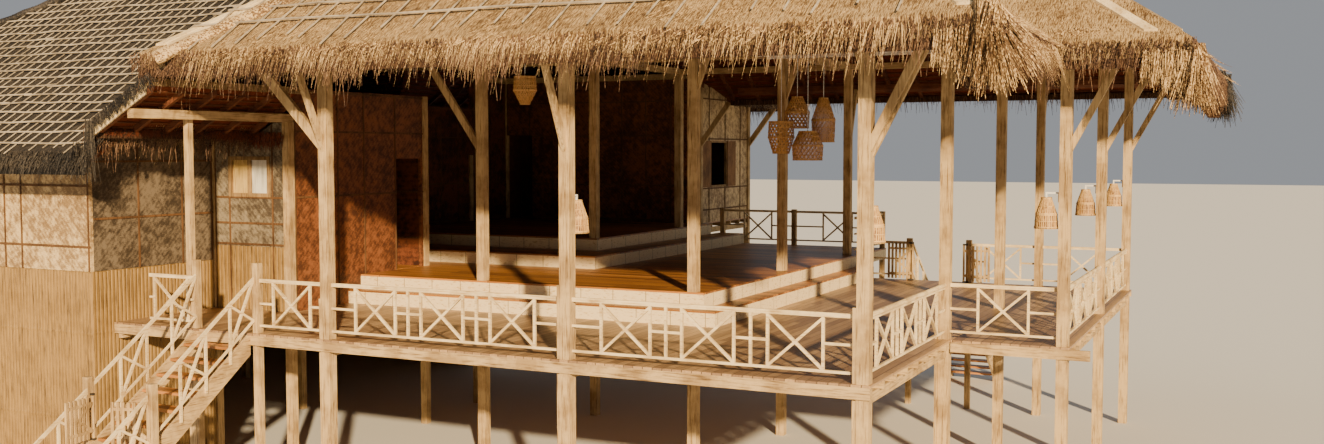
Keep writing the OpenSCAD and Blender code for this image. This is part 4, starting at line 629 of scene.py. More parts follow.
class Round:
    """A round shade or basket, read from its solid: its middle, its height and its outline."""

    def __init__(self, points, least):
        spans = [[p[i] for p in points] for i in (0, 1)]
        self.middle = Vector([(min(span) + max(span)) / 2 for span in spans] + [0])
        rings = {}
        for p in points:
            height = round(p.z, 3)
            radius = math.hypot(p.x - self.middle.x, p.y - self.middle.y)
            rings[height] = max(rings.get(height, 0.0), radius)
        self.rings = [(z, r) for z, r in sorted(rings.items()) if r > least]
        self.low, self.high = self.rings[0][0], self.rings[-1][0]

    def height(self, share):
        """The height at a share of the way up."""
        return self.low + (self.high - self.low) * share

    def ray(self, turn):
        """The level direction at a turn."""
        return Vector((math.cos(turn), math.sin(turn), 0))

    def radius(self, z):
        """The outer radius at a height, between the rings."""
        for (z0, r0), (z1, r1) in zip(self.rings, self.rings[1:]):
            if z0 <= z <= z1:
                return r0 + (r1 - r0) * (z - z0) / (z1 - z0)
        return self.rings[-1 if z > self.high else 0][1]

    def strip(self, turns, heights, lift, width, depth):
        """The matrix of a flat strip over the surface, between two turns and two heights."""
        ends = [self.middle + self.ray(turn) * (self.radius(z) + lift) + UP * z
                for turn, z in zip(turns, heights)]
        return bar(*ends, width, depth, self.ray(sum(turns) / 2))

    def hoop(self, share, count, lift, width, depth):
        """The matrices of a level hoop made of so many strips, which overlap a little."""
        step, z = math.tau / count, self.height(share)
        return [self.strip((k * step, (k + OVERLAP) * step), (z, z), lift, width, depth)
                for k in range(count)]


# Slopes of thatch, read from their CAD nodes --------------------------------

OUTWARD = {"front": Vector((0, -1, 0)), "rear": Vector((0, 1, 0)), "east": Vector((1, 0, 0)),
           "west": Vector((-1, 0, 0))}
# Faces whose normals have at least this product look the same way
SAME_WAY = 0.9995
# Runs closer than a gap are one run, and shorter ones than the least are left out
GAP, LEAST_RUN = 0.02, 0.05


def faces_towards(node, normal):
    """A node's faces that look one way, as lists of corners."""
    mesh = NODES[node].data
    return [[mesh.vertices[i].co.copy() for i in poly.vertices]
            for poly in mesh.polygons if poly.normal.dot(normal) > SAME_WAY]


def runs_across(faces, normal, axis, value):
    """Straight runs where faces of one direction meet the plane axis . p = value."""
    line = normal.cross(axis).normalized()
    runs = []
    for face in faces:
        hits = []
        for a, b in zip(face, face[1:] + face[:1]):
            da, db = a.dot(axis) - value, b.dot(axis) - value
            if da * db < 0:
                hits.append(a.lerp(b, da / (da - db)))
        if len(hits) == 2:
            runs.append(sorted(hits, key=line.dot))
    merged = []
    for start, end in sorted(runs, key=lambda run: run[0].dot(line)):
        if merged and start.dot(line) < merged[-1][1].dot(line) + GAP:
            if end.dot(line) > merged[-1][1].dot(line):
                merged[-1][1] = end
        else:
            merged.append([start, end])
    return [(a, b) for a, b in merged if (b - a).length > LEAST_RUN]


class Slope:
    """The top and underside of one thatched slope."""

    def __init__(self, node, side, rise):
        self.out = OUTWARD[side]
        self.normal = (self.out * rise + UP).normalized()
        self.down = (self.out - UP * rise).normalized()
        self.along = self.down.cross(self.normal).normalized()
        self.top = faces_towards(node + "_thatch", self.normal)
        self.low = faces_towards(node + "_thatch", -self.normal)
        self.points = [p for face in self.top for p in face]
        heights = [p.z for p in self.points]
        self.low_z, self.high_z = min(heights), max(heights)

    def level(self, z, under=False):
        """Level runs at a height."""
        return runs_across(self.low if under else self.top, self.normal, UP, z)

    def scattered(self, rng, density):
        """Random points on the top, so many to a square metre."""
        for face in self.top:
            for k in range(1, len(face) - 1):
                a, b, c = face[0], face[k], face[k + 1]
                want = (b - a).cross(c - a).length / 2 * density
                for _ in range(int(want) + (rng.random() < want - int(want))):
                    u, v = rng.random(), rng.random()
                    if u + v > 1:
                        u, v = 1 - u, 1 - v
                    yield a + (b - a) * u + (c - a) * v


# Rise of a slope to a metre
HALL_RISE, WING_RISE, PORCH_RISE = 0.70, 0.66, 0.54
# Each slope's key, the node that holds it, the way it faces and its rise
SLOPES = {key: Slope(node, side, rise) for key, node, side, rise in (
    ("front", "front", "front", HALL_RISE), ("east", "east", "east", HALL_RISE),
    ("west", "west", "west", HALL_RISE), ("rear", "rear", "rear", HALL_RISE),
    ("gallery_front", "gallery_front", "front", HALL_RISE),
    ("gallery_east", "gallery_east", "east", HALL_RISE), ("porch", "porch", "west", PORCH_RISE),
    ("wing_front", "wing_front", "front", WING_RISE), ("wing_left", "wing_back", "west", WING_RISE),
    ("wing_rear", "wing_back", "rear", WING_RISE), ("room_east", "rear_room", "east", HALL_RISE),
    ("room_west", "rear_room", "west", HALL_RISE), ("room_rear", "rear_room", "rear", HALL_RISE))}
# The wing's thatch is older than the rest
OLD = ("wing_front", "wing_left", "wing_rear")
# Low and high end of each board on the hips
BOARDS = [(min(points, key=lambda p: p.z), max(points, key=lambda p: p.z))
          for points in parts_of("roof_boards")]


def shared_edge(first, second):
    """The line where two slopes meet, from its low end to its high end."""
    met = [p for p in SLOPES[first].points if any((p - q).length < 0.01 for q in SLOPES[second].points)]
    return min(met, key=lambda p: p.z), max(met, key=lambda p: p.z)


def near_board(spot, reach):
    """Whether a place on the thatch is beside one of the boards on the hips."""
    for low, high in BOARDS:
        run = high - low
        share = max(0.0, min(1.0, (spot - low).dot(run) / run.length_squared))
        if (low + run * share - spot).length < reach:
            return True
    return False


# Operators -------------------------------------------------------------------

class STILTHALL_OT_finishes(bpy.types.Operator):
    """Make the finishes and put them on the CAD nodes"""
    bl_idname = "stilt_hall.finishes"
    bl_label = "Finishes"

    def execute(self, context):
        MATERIALS.update(all_materials(context.scene))
        for finish, names in FINISH_NODES.items():
            for name in names.split():
                slots = NODES[name].data.materials
                if not slots:
                    slots.append(MATERIALS[finish])
                for index in range(len(slots)):
                    slots[index] = MATERIALS[finish]
        return {"FINISHED"}


class STILTHALL_OT_straw_coat(bpy.types.Operator):
    """Lay loose stalks over every slope"""
    bl_idname = "stilt_hall.straw_coat"
    bl_label = "Straw coat"

    def execute(self, context):
        size = context.scene.hall_straw
        way, thick = ((-0.45, 0.45), 1, (0.02, 0.22)), size.straw * 1.1
        stocks = straw_stocks(
            5, 22, 100, ((-0.3, 0.3), (-0.35, 0.35), -0.01), way, size.coat_length, (0.4, 1.1), thick, 0.0)
        # Beside the boards the clumps are small, so that no stalk lies over them
        small = straw_stock(
            9, 120, ((-0.08, 0.08), (-0.08, 0.08), -0.01), way, size.coat_length, (0.3, 0.5), thick, 0.0)
        # Clumps to a square metre; the slopes that the photo shows have more
        dense = {"front": 6.5, "gallery_front": 7.5, "east": 6.5, "gallery_east": 3.0, "wing_front": 2.0}
        for key, slope in SLOPES.items():
            rng = random.Random("coat " + key)
            copies = []
            for spot in slope.scattered(rng, dense.get(key, 1.2)):
                if near_board(spot, 0.24):
                    continue
                turn = Matrix.Rotation(rng.uniform(-0.3, 0.3), 4, slope.normal)
                stock = small if near_board(spot, 0.80) else rng.choice(stocks)
                copies.append((stock, Matrix.Translation(spot) @ turn @ pose(
                    (0, 0, 0), slope.along, slope.down, slope.normal, rng.uniform(0.8, 1.1))))
            repeat("straw_coat_" + key, "old_stalks" if key in OLD else "stalks", copies)
        return {"FINISHED"}


class STILTHALL_OT_eave_straw(bpy.types.Operator):
    """Hang a ragged straw fringe over every eave"""
    bl_idname = "stilt_hall.eave_straw"
    bl_label = "Eave straw"

    def clumps(self, size):
        """Clumps 0.6 m wide: straws over the edge, a curtain under it and long weathered tips."""
        wide = (-0.3, 0.3)
        brow = straw_stocks(
            4, 95, 200, (wide, (0.0, -0.46), 0.0), ((-0.55, 0.55), 1.0, (-HALL_RISE, 0.35 - HALL_RISE)),
            size.brow_length, (0.45, 0.95), size.straw * 1.1, 0.1, cuts=(-0.04, 0.06), sag=5.5)
        # The roots of these straws lie up the slope
        for points, _ in brow:
            for v in points:
                v.z += HALL_RISE * max(0.0, -v.y) - 0.02
        curtain = straw_stocks(
            4, 100, 250, (wide, (0.0, 0.03), (0.0, -0.27)), ((-0.40, 0.40), (0.05, 0.55), -1),
            size.curtain_length, (0.5, 1.05), size.straw, 0.3)
        tips = straw_stocks(
            4, 12, 300, (wide, (-0.04, 0.04), -0.24), ((-0.22, 0.22), (-0.05, 0.2), -1),
            size.tip_length, (0.35, 1.0), size.straw * 0.85, 0.6, skew=2)
        return brow, curtain, tips

    def execute(self, context):
        brow, curtain, tips = self.clumps(context.scene.hall_straw)
        near = ("front", "east", "gallery_front", "gallery_east", "wing_front", "porch")
        # The gallery's side is thin, and the west end lies under boards
        thin = (*OLD, "west", "gallery_east")
        for key, slope in SLOPES.items():
            rng = random.Random("eave " + key)
            old = key in OLD
            pitch = 0.28 if key in near else 0.45
            layers = {"brow": [], "curtain": [], "tips": []}
            for a, b in slope.level(slope.low_z + 0.004):
                steps = max(1, round((b - a).length / pitch))
                for k in range(steps):
                    spot = a.lerp(b, (k + rng.uniform(0.3, 0.7)) / steps)
                    place = pose(spot, slope.along, slope.out, scale=rng.uniform(0.85, 1.15))
                    # Half the clumps are mirrored, so that the few kinds don't show as repeats
                    if rng.random() < 0.5:
                        place = place @ Matrix.Diagonal((-1, 1, 1, 1))
                    if old and k % 3 == 0:
                        layers["brow"].append((rng.choice(brow), place))
                    if key not in thin and not near_board(spot, 0.55):
                        short = Matrix.Diagonal((1, 0.6, 0.8, 1)) if key == "gallery_front" else Matrix()
                        layers["brow"].append((rng.choice(brow), place @ short))
                    # Clumps of uneven length make the edge ragged
                    place = place @ Matrix.Diagonal((1, 1, 0.75 if old else rng.uniform(0.75, 1.35), 1))
                    layers["curtain"].append((rng.choice(curtain), place))
                    layers["tips"].append((rng.choice(tips), place))
            # The curtain and the tips take the tips' darker finish: painted shade under the brow
            for layer, finish in (("brow", "stalks"), ("curtain", "tips"), ("tips", "tips")):
                if layers[layer]:
                    repeat(f"eave_{layer}_{key}", "old_stalks" if old else finish, layers[layer])
        return {"FINISHED"}


# The corners' bundles: slopes that meet, then for each layer its place up the hip, height over it,
# reach to either side and outwards, drop, length and number of stalks
FAR_CORNER = ((0.2, 0.05, (-0.5, 0.5), (0.0, 0.3), 1.2, 0.55, 110),)
CORNERS = (
    ("front", "east", (
        (0.20, 0.05, (-0.95, 0.45), (0.30, 0.8), 1.0, 1.0, 150),
        (0.05, 0.05, (-0.70, 0.45), (0.05, 0.45), 1.15, 0.98, 190),
        (-0.02, 0.05, (-0.50, 0.50), (-0.25, 0.15), 1.2, 0.90, 150))),
    ("gallery_front", "gallery_east", (
        (-0.08, -0.12, (-0.36, 0.36), (0.0, 0.45), 1.2, 0.86, 190),
        (-0.02, -0.15, (-0.45, 0.45), (-0.45, 0.1), 1.2, 0.85, 150))),
    ("gallery_east", "rear", (
        (0.15, 0.03, (-0.55, 0.55), (0.1, 0.5), 1.1, 0.95, 170),
        (-0.02, 0.03, (-0.50, 0.50), (-0.45, 0.15), 1.2, 1.0, 210))),
    ("room_east", "room_rear", FAR_CORNER), ("room_west", "room_rear", FAR_CORNER),
    ("wing_front", "wing_left", FAR_CORNER))


class STILTHALL_OT_corner_bundles(bpy.types.Operator):
    """Hang long straw bundles over the roof's corners"""
    bl_idname = "stilt_hall.corner_bundles"
    bl_label = "Corner bundles"

    def execute(self, context):
        size = context.scene.hall_straw
        thick = size.straw * 1.5
        flank = straw_fan(90, 490, (-0.28, 0.28), (-0.25, 0.3), 1.0, 0.60, thick * 0.8, 0.13)
        for name, finish, keys in (
                ("corner_bundles", "stalks", ("front", "gallery_front")),
                # Painted shade: the far bundles take the old straw's dark colour
                ("far_corner_bundles", "old_stalks", ("gallery_east", "room_east", "room_west")),
                ("old_corner_bundles", "old_stalks", OLD)):
            copies = []
            for number, (first, second, layers) in enumerate(CORNERS):
                if first not in keys:
                    continue
                low, high = shared_edge(first, second)
                out = (SLOPES[first].out + SLOPES[second].out).normalized()
                uphill = (high - low).normalized()
                for layer, (share, rise, spread, outward, drop, long, count) in enumerate(layers):
                    span, seed = size.bundle_length * long, 400 + 10 * number + layer
                    spot = low + uphill * share + UP * rise
                    copies.append((straw_fan(count, seed, spread, outward, drop, span, thick),
                                   pose(spot, out.cross(UP).normalized(), out)))
                if layers is FAR_CORNER:
                    continue
                # Shorter bundles beside the corner, along both eaves
                sides = (SLOPES[first].out, SLOPES[second].out)
                for out, other in (sides, sides[::-1]):
                    for away, scale in ((0.16, 1.0), (0.34, 0.85), (0.50, 0.7)):
                        spot = low - other * away + out * 0.02 - UP * 0.20
                        copies.append((flank, pose(spot, out.cross(UP), out, scale=scale)))
            repeat(name, finish, copies)
        return {"FINISHED"}


class STILTHALL_OT_porch_straw(bpy.types.Operator):
    """Hang straw ends in painted shade over the porch's walls and a bundle at the wing's corner"""
    bl_idname = "stilt_hall.porch_straw"
    bl_label = "Porch straw"

    def execute(self, context):
        size = context.scene.hall_straw
        span, thin = size.curtain_length, size.straw * 0.9
        stocks = straw_stocks(
            4, 46, 450, ((-0.16, 0.16), (-0.02, 0.05), (-0.05, 0.02)), ((-0.3, 0.3), (-0.02, 0.15), -1),
            span, (0.5, 1.15), thin, 0.3)
        rng = random.Random("porch")
        slope = SLOPES["porch"]
        low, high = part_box("window_wall")
        eave, edge = slope.low_z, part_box("porch_thatch")[0][0]
        wall_y, wall_z, inner_x, eave_z = low[1] - 0.03, eave - 0.12, edge + 0.13, eave - 0.10
        # Places along Y of the front end of the porch's eave and of the wing's corner
        porch_y, corner_y = -1.08, -1.33
        copies = []
        for start, end, out, first, last in (
                # Along the window wall, longer towards the post
                ((low[0] + 0.05, wall_y, wall_z), (high[0] - 0.06, wall_y, wall_z), (0, -1, 0), 0.8, 1.55),
                # Along the inner side of the porch's own eave
                ((inner_x, porch_y, eave_z), (inner_x, low[1] - 0.05, eave_z), (1, 0, 0), 0.55, 0.85)):
            start, end = Vector(start), Vector(end)
            steps = round((end - start).length / 0.14)
            for k in range(steps):
                spot = start.lerp(end, (k + 0.5) / steps)
                scale = (first + (last - first) * k / steps) * rng.uniform(0.85, 1.15)
                place = pose(spot, (end - start).normalized(), out, scale=scale)
                copies.append((rng.choice(stocks), place))
        repeat("porch_straw", "dark_stalks", copies)
        # Short straws over the porch roof's front edge, above its board
        rake = straw_stock(
            110, 460, ((-0.2, 0.2), (-0.04, 0.06), 0.03), ((-0.4, 0.4), (0.02, 0.22), (-0.6, -1.0)),
            span, (0.8, 1.6), thin, 0.3)
        front, forward = min(p.y for p in slope.points), OUTWARD["front"]
        ends = sorted((p for p in slope.points if p.y < front + 0.01), key=lambda p: p.z)
        steps = round((ends[-1] - ends[0]).length / 0.2)
        along = (ends[-1] - ends[0]).normalized()
        repeat("porch_rake_straw", "old_stalks", [
            (rake, pose(ends[0].lerp(ends[-1], (k + 0.5) / steps), -along, forward, forward.cross(along)))
            for k in range(steps)])
        bundle = straw_fan(70, 470, (-0.10, 0.10), (-0.08, 0.08), 1.0, 0.85, size.straw, 0.045)
        skirt = straw_fan(80, 471, (-0.5, 0.1), (-0.2, 0.2), 1.0, 0.52, size.straw, 0.10)
        corner = Vector((edge + 0.1, corner_y, eave - 0.03))
        below = corner + Vector((-0.14, -0.05, -0.33))
        repeat("wing_corner_bundle", "old_stalks", [
            (bundle, Matrix.Translation(corner)), (skirt, Matrix.Translation(below))])
        return {"FINISHED"}


# Hips with a straw roll: the slopes that meet, and how far the roll lies over the first one
HIPS = (("front", "west", 0.50), ("wing_front", "wing_left", 0.0), ("wing_left", "wing_rear", 0.0),
        ("room_east", "room_rear", 0.0), ("room_west", "room_rear", 0.0))
RIDGES = ("wing_front", "room_east", "gallery_front")
# Length of one piece of roll
ROLL = 0.5


class STILTHALL_OT_straw_rolls(bpy.types.Operator):
    """Bind straw rolls along the hips and the ridges"""
    bl_idname = "stilt_hall.straw_rolls"
    bl_label = "Straw rolls"

    def roll_stock(self, radius):
        """A short length of lumpy roll along X, flattened."""
        primitive("cylinder", vertices=14, radius=radius, depth=ROLL, location=(ROLL / 2, 0, 0),
                  rotation=(0, math.pi / 2, 0))
        cut((1, 0, 0), [k * ROLL / 4 for k in (1, 2, 3)])

        def bend(point):
            swell = 1.0 + 0.10 * math.sin(point.x / ROLL * math.tau) * (0 < point.x < ROLL)
            point.y *= swell
            point.z *= 0.55 * swell

        return take(bend)

    def lines(self):
        """The rolls' lines: low end, high end, normal, and whether the thatch is old."""
        for first, second, over in HIPS:
            low, high = shared_edge(first, second)
            normal = (SLOPES[first].normal + SLOPES[second].normal).normalized()
            if over:
                normal, uphill = SLOPES[first].normal, (high - low).normalized()
                shift = normal.cross(uphill) * over
                if shift.dot(SLOPES[first].out) < 0:
                    shift = -shift
                low, high = low + shift + uphill * 0.15, high + shift
            yield low, high, normal, first in OLD
        for key in RIDGES:
            runs = SLOPES[key].level(SLOPES[key].high_z - 0.01)
            if runs:
                a, b = max(runs, key=lambda run: (run[1] - run[0]).length)
                yield a, b, UP, key in OLD

    def execute(self, context):
        size = context.scene.hall_straw
        body = self.roll_stock(size.roll)
        hair = straw_stocks(
            4, 46, 500, ((0, ROLL), (-0.05, 0.05), size.roll * 0.5), ((-0.5, 0.5), [-1, 1], (-0.75, -0.15)),
            size.roll, (0.7, 1.3), size.straw)
        rng = random.Random("rolls")
        for old in (False, True):
            copies = []
            for low, high, normal, aged in self.lines():
                if aged != old:
                    continue
                along = (high - low).normalized()
                side = normal.cross(along).normalized()
                steps = max(1, round((high - low).length / ROLL))
                for k in range(steps):
                    place = pose(low.lerp(high, k / steps), along, side, along.cross(side))
                    copies += [(body, place), (rng.choice(hair), place)]
            repeat("old_straw_rolls" if old else "straw_rolls", "old_stalks" if old else "stalks", copies)
        return {"FINISHED"}


class STILTHALL_OT_roof_laths(bpy.types.Operator):
    """Tie laths over the wing's thatch and along the front slope"""
    bl_idname = "stilt_hall.roof_laths"
    bl_label = "Roof laths"

    def wing_laths(self, slope, wood, stocks, sticks, rng):
        """Level laths, end to end and a little out of line, and sticks down the slope."""
        lath_length = 3.2
        copies = []
        drop = wood.lath_pitch * -slope.down.z
        z = slope.low_z + drop * 0.6
        while z < slope.high_z - 0.1:
            for a, b in slope.level(z):
                pieces = max(1, round((b - a).length / lath_length))
                for k in range(pieces):
                    start, end = a.lerp(b, k / pieces), a.lerp(b, min(1.0, (k + OVERLAP) / pieces))
                    sway = slope.down * rng.uniform(-0.02, 0.02)
                    copies.append((rng.choice(stocks), bar(
                        start + sway, end - sway, wood.lath, wood.lath * 0.6, slope.normal, 0.04)))
            z += drop * rng.uniform(0.9, 1.1)
        places = [p.dot(slope.along) for p in slope.points]
        place = min(places) + 0.2
        while place < max(places):
            for a, b in runs_across(slope.top, slope.normal, slope.along, place):
                lean = slope.along * rng.uniform(-0.05, 0.05)
                if a.z < b.z:
                    a, b = b, a
                b = b + slope.down * rng.uniform(-0.12, 0.10) + lean
                copies.append((rng.choice(sticks), bar(
                    a, b, wood.lath * 0.55, wood.lath * 0.45, slope.normal, 0.02)))
            place += wood.stick_pitch * rng.uniform(0.8, 1.25)
        return copies

    def execute(self, context):
        wood = context.scene.hall_timber
        stocks = [timber_stock(0.8, 600 + k, 6) for k in range(5)]
        sticks = [timber_stock(0.35, 650 + k, 3) for k in range(5)]
        rng = random.Random("laths")
        for key in OLD:
            laths = self.wing_laths(SLOPES[key], wood, stocks, sticks, rng)
            repeat("laths_" + key, "bleached_x", laths)
        # Two long laths above the front eave, with short sticks across them
        slope = SLOPES["front"]
        runs = [slope.level(DECK_Z + height) for height in (4.63, 4.88)]
        copies = [(stocks[0], bar(a, b, wood.lath * 1.15, wood.lath * 0.7, slope.normal, 0.05))
                  for level in runs for a, b in level]
        a, b = runs[0][0]
        place = 0.5
        while place < (b - a).length - 0.4:
            spot = a + (b - a).normalized() * place
            tail = spot + slope.down * rng.uniform(0.35, 0.75)
            head = spot - slope.down * rng.uniform(0.75, 1.2)
            tail = tail + slope.along * rng.uniform(-0.08, 0.08)
            copies.append((rng.choice(sticks), bar(
                head, tail, wood.lath * 0.8, wood.lath * 0.5, slope.normal, 0.045)))
            place += rng.uniform(0.36, 0.5)
        repeat("front_laths", "bleached_x", copies)
        return {"FINISHED"}


class STILTHALL_OT_under_battens(bpy.types.Operator):
    """Tie close battens under the thatch"""
    bl_idname = "stilt_hall.under_battens"
    bl_label = "Battens under the thatch"

    def execute(self, context):
        wood = context.scene.hall_timber
        stocks = [timber_stock(0.12, 700 + k, 3) for k in range(4)]
        rng = random.Random("battens")
        for key, slope in SLOPES.items():
            heights = [p.z for face in slope.low for p in face]
            copies = []
            z = min(heights) + 0.06
            while z < max(heights) - 0.05:
                for a, b in slope.level(z, under=True):
                    copies.append((rng.choice(stocks), bar(
                        a, b, wood.batten * 0.8, 0.022, slope.normal, -0.012)))
                z += wood.batten_pitch * -slope.down.z * 0.6
            if copies:
                repeat("under_battens_" + key, "smoked_x" if slope.out.y else "smoked_y", copies)
        return {"FINISHED"}


# Battens on the walls: node, side that shows, heights of the level ones above the lower deck,
# and where the upright ones are: the places along the wall, or one distance between them
WALL_BATTENS = (
    ("wing_front_wall", "front", (1.255, 2.24), (
        -12.70, -14.29, -14.70, -16.30, -16.72, -18.30, -18.70, -20.30, -20.70, -22.10)),
    ("wing_side_wall", "east", (1.705, 2.63), (-0.50, 0.43, 1.36, 2.03)),
    ("window_wall", "front", (1.16, 1.53, 1.985), (-12.63, -12.29, -11.29, -10.99)),
    ("room_side_wall", "east", (1.99, 3.14, 3.84), (2.25, 3.36, 4.09, 5.01)),
    ("rear_room_front_wall", "front", (1.06, 1.93, 3.18, 4.04), 0.70),
    ("rear_room_side_wall", "east", (1.32, 1.855, 3.10, 4.10), (13.92, 14.42, 15.43, 16.44, 17.38)),
    ("recess_walls", "front", (1.06, 1.98, 3.13, 3.84), 0.70),
    ("recess_walls", "east", (1.06, 1.98, 3.13, 3.84), 0.70),
    ("outer_walls", "west", (0.90, 1.70, 2.64), 1.05),
    ("outer_walls", "rear", (1.10, 1.85, 2.64), 1.05),
)


class STILTHALL_OT_wall_battens(bpy.types.Operator):
    """Nail dark battens over the woven walls"""
    bl_idname = "stilt_hall.wall_battens"
    bl_label = "Wall battens"

    def execute(self, context):
        wood = context.scene.hall_timber
        stock = timber_stock(0.04, 800, 3)
        copies = []
        for node, side, heights, places in WALL_BATTENS:
            out = OUTWARD[side]
            along = UP.cross(out)
            faces = faces_towards(node, out)
            if isinstance(places, float):
                spots = [p.dot(along) for face in faces for p in face]
                low, high = min(spots) + 0.02, max(spots) - 0.02
                count = max(1, round((high - low) / places))
                places = [low + (high - low) * k / count for k in range(count + 1)]
            else:
                places = [p * (1 if along.x + along.y > 0 else -1) for p in places]
            for axis, values, width, depth in (
                    (UP, [DECK_Z + height for height in heights], wood.batten, 0.02),
                    (along, places, wood.batten * 0.85, 0.016)):
                for value in values:
                    for a, b in runs_across(faces, out, axis, value):
                        copies.append((stock, bar(a, b, width, depth, out, 0.006)))
        repeat("wall_battens", "batten", copies)
        return {"FINISHED"}


class STILTHALL_OT_skirting_strips(bpy.types.Operator):
    """Stand split bamboo strips over the skirting"""
    bl_idname = "stilt_hall.skirting_strips"
    bl_label = "Skirting strips"

    def strip_stock(self):
        """Half a bamboo stem, one unit high, with two knots."""
        knots = (0.32, 0.72)
        primitive(
            "cylinder", vertices=8, radius=0.5, depth=1, location=(0, 0, 0.5), end_fill_type="NOTHING")
        cut((0, 1, 0), (0,), clear_inner=True)
        cut((0, 0, 1), [knot + step for knot in knots for step in (-0.01, 0, 0.01)])

        def bend(point):
            if min(abs(point.z - knot) for knot in knots) < 0.004:
                point.x *= 1.08
                point.y *= 1.25

        return take(bend)

    def execute(self, context):
        wall = context.scene.hall_walls
        stock = self.strip_stock()
        rng = random.Random("strips")
        low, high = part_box("skirting")
        (left, front), (back, top) = low[:2], high[1:]
        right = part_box("wing_side_wall")[1][0] - 0.01
        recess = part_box("recess_walls")[0][0] - 0.06
        low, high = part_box("window_wall")
        copies = []
        for start, end, side in (
                ((left, front), (right, front), "front"), ((right, front), (right, low[1]), "east"),
                ((left, back), (left, front), "west"), ((recess, back), (left, back), "rear")):
            start, end = Vector((*start, 0)), Vector((*end, 0))
            count = round((end - start).length / wall.strip)
            step = (end - start) / count
            for k in range(count):
                width, height = wall.strip * rng.uniform(0.82, 0.98), top - rng.uniform(0, 0.03)
                place = pose(start + step * (k + 0.5), step.normalized(), OUTWARD[side])
                copies.append((stock, place @ Matrix.Diagonal((width, 0.03, height, 1))))
        # Short strips between the deck and the first batten under the porch window
        pitch, width, height = 0.09, 0.085, 1.12
        count = round((high[0] - low[0]) / pitch)
        for k in range(count):
            spot = (low[0] + (high[0] - low[0]) * (k + 0.5) / count, low[1], DECK_Z + 0.003)
            place = pose(spot, OUTWARD["east"], OUTWARD["front"])
            copies.append((stock, place @ Matrix.Diagonal((width, 0.02, height, 1))))
        repeat("skirting_strips", "bamboo", copies)
        return {"FINISHED"}


class STILTHALL_OT_post_cheeks(bpy.types.Operator):
    """Lap boards onto the feet of the front posts"""
    bl_idname = "stilt_hall.post_cheeks"
    bl_label = "Post cheeks"

    def execute(self, context):
        stock = timber_stock(0.02, 900, 3)
        # The hall is two bays wide and three deep, between the middles of its outer beams
        plate, half_post = 0.13, 0.08
        low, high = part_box("tie_beams")
        bay_w, bay_d = (high[0] - low[0] - plate) / 2, (high[1] - low[1]) / 3
        copies = []
        # Each post's place in bays, then the upper board's height and both boards' thickness
        for x, y, top, thick in (
                (0, 0, 0.92, 0.045), (0, 1, 0.75, 0.04), (-1, 0, 1.0, 0.04), (-2, 0, 0.6, 0.03)):
            for foot, height in ((0.0, DECK_Z - 0.20), (DECK_Z + 0.004, top)):
                start = Vector((x * bay_w - half_post - thick / 2 - 0.002, y * bay_d, foot))
                copies.append((stock, bar(
                    start, start + UP * height, half_post * 1.9, thick, OUTWARD["west"])))
        repeat("post_cheeks", "post", copies)
        return {"FINISHED"}


class STILTHALL_OT_window_blinds(bpy.types.Operator):
    """Hang plain blinds behind the porch window and nail its casing on"""
    bl_idname = "stilt_hall.window_blinds"
    bl_label = "Window blinds and casing"

    def execute(self, context):
        stock = timber_stock(0.0, 950, 4)
        front = OUTWARD["front"]
        # The porch window's frame, from the vertices near its wall
        wall_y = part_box("window_wall")[0][1]
        points = [v.co for v in NODES["window_frames"].data.vertices if abs(v.co.y - wall_y) < 0.3]
        left, low_y, low = (min(p[i] for p in points) for i in range(3))
        right, high_y, high = (max(p[i] for p in points) for i in range(3))
        middle = (left + right) / 2
        for name, finish, start, end in (
                ("left_blind", "blind_warm", left, middle), ("right_blind", "blind_pale", middle, right)):
            base = Vector(((start + end) / 2, (low_y + high_y) / 2 + 0.004, low + 0.01))
            top = base + UP * (high - low - 0.02)
            repeat(name, finish, [(stock, bar(base, top, end - start - 0.02, 0.006, front))])
        # The casing stands a little proud of the wall
        face = low_y - 0.006
        casing = [bar((x, face, low), (x, face, high), width, 0.024, front)
                  for x, width in ((left + 0.02, 0.07), (middle, 0.075), (right - 0.02, 0.07))]
        casing += [bar((left - 0.015, face, z), (right + 0.015, face, z), 0.06, 0.028, front)
                   for z in (low + 0.015, high - 0.015)]
        repeat("window_casing", "frame", [(stock, place) for place in casing])
        return {"FINISHED"}


class STILTHALL_OT_lamp_ribs(bpy.types.Operator):
    """Bind straw ribs and hoops round the lamp shades"""
    bl_idname = "stilt_hall.lamp_ribs"
    bl_label = "Lamp ribs"

    def execute(self, context):
        stock = timber_stock(0.0, 960, 2)
        rng = random.Random("ribs")
        ribs = 34
        places = []
        for points in parts_of("lamp_shades"):
            shade = Round(points, 0.03)
            for k in range(ribs):
                turn = (k + rng.uniform(-0.2, 0.2)) * math.tau / ribs
                heights = [shade.height(share) for share in (0, 0.22, 0.45, 0.72, 1.0)]
                heights[0] -= rng.uniform(0, 0.012)
                for ends in zip(heights, heights[1:]):
                    width = 0.011 * rng.uniform(0.7, 1.1)
                    places.append(shade.strip((turn, turn), ends, 0.003, width, 0.006))
            for share, width in ((0.06, 0.022), (0.5, 0.010), (0.97, 0.016)):
                places += shade.hoop(share, 24, 0.008, width, 0.006)
        repeat("lamp_ribs", "shade", [(stock, place) for place in places])
        return {"FINISHED"}


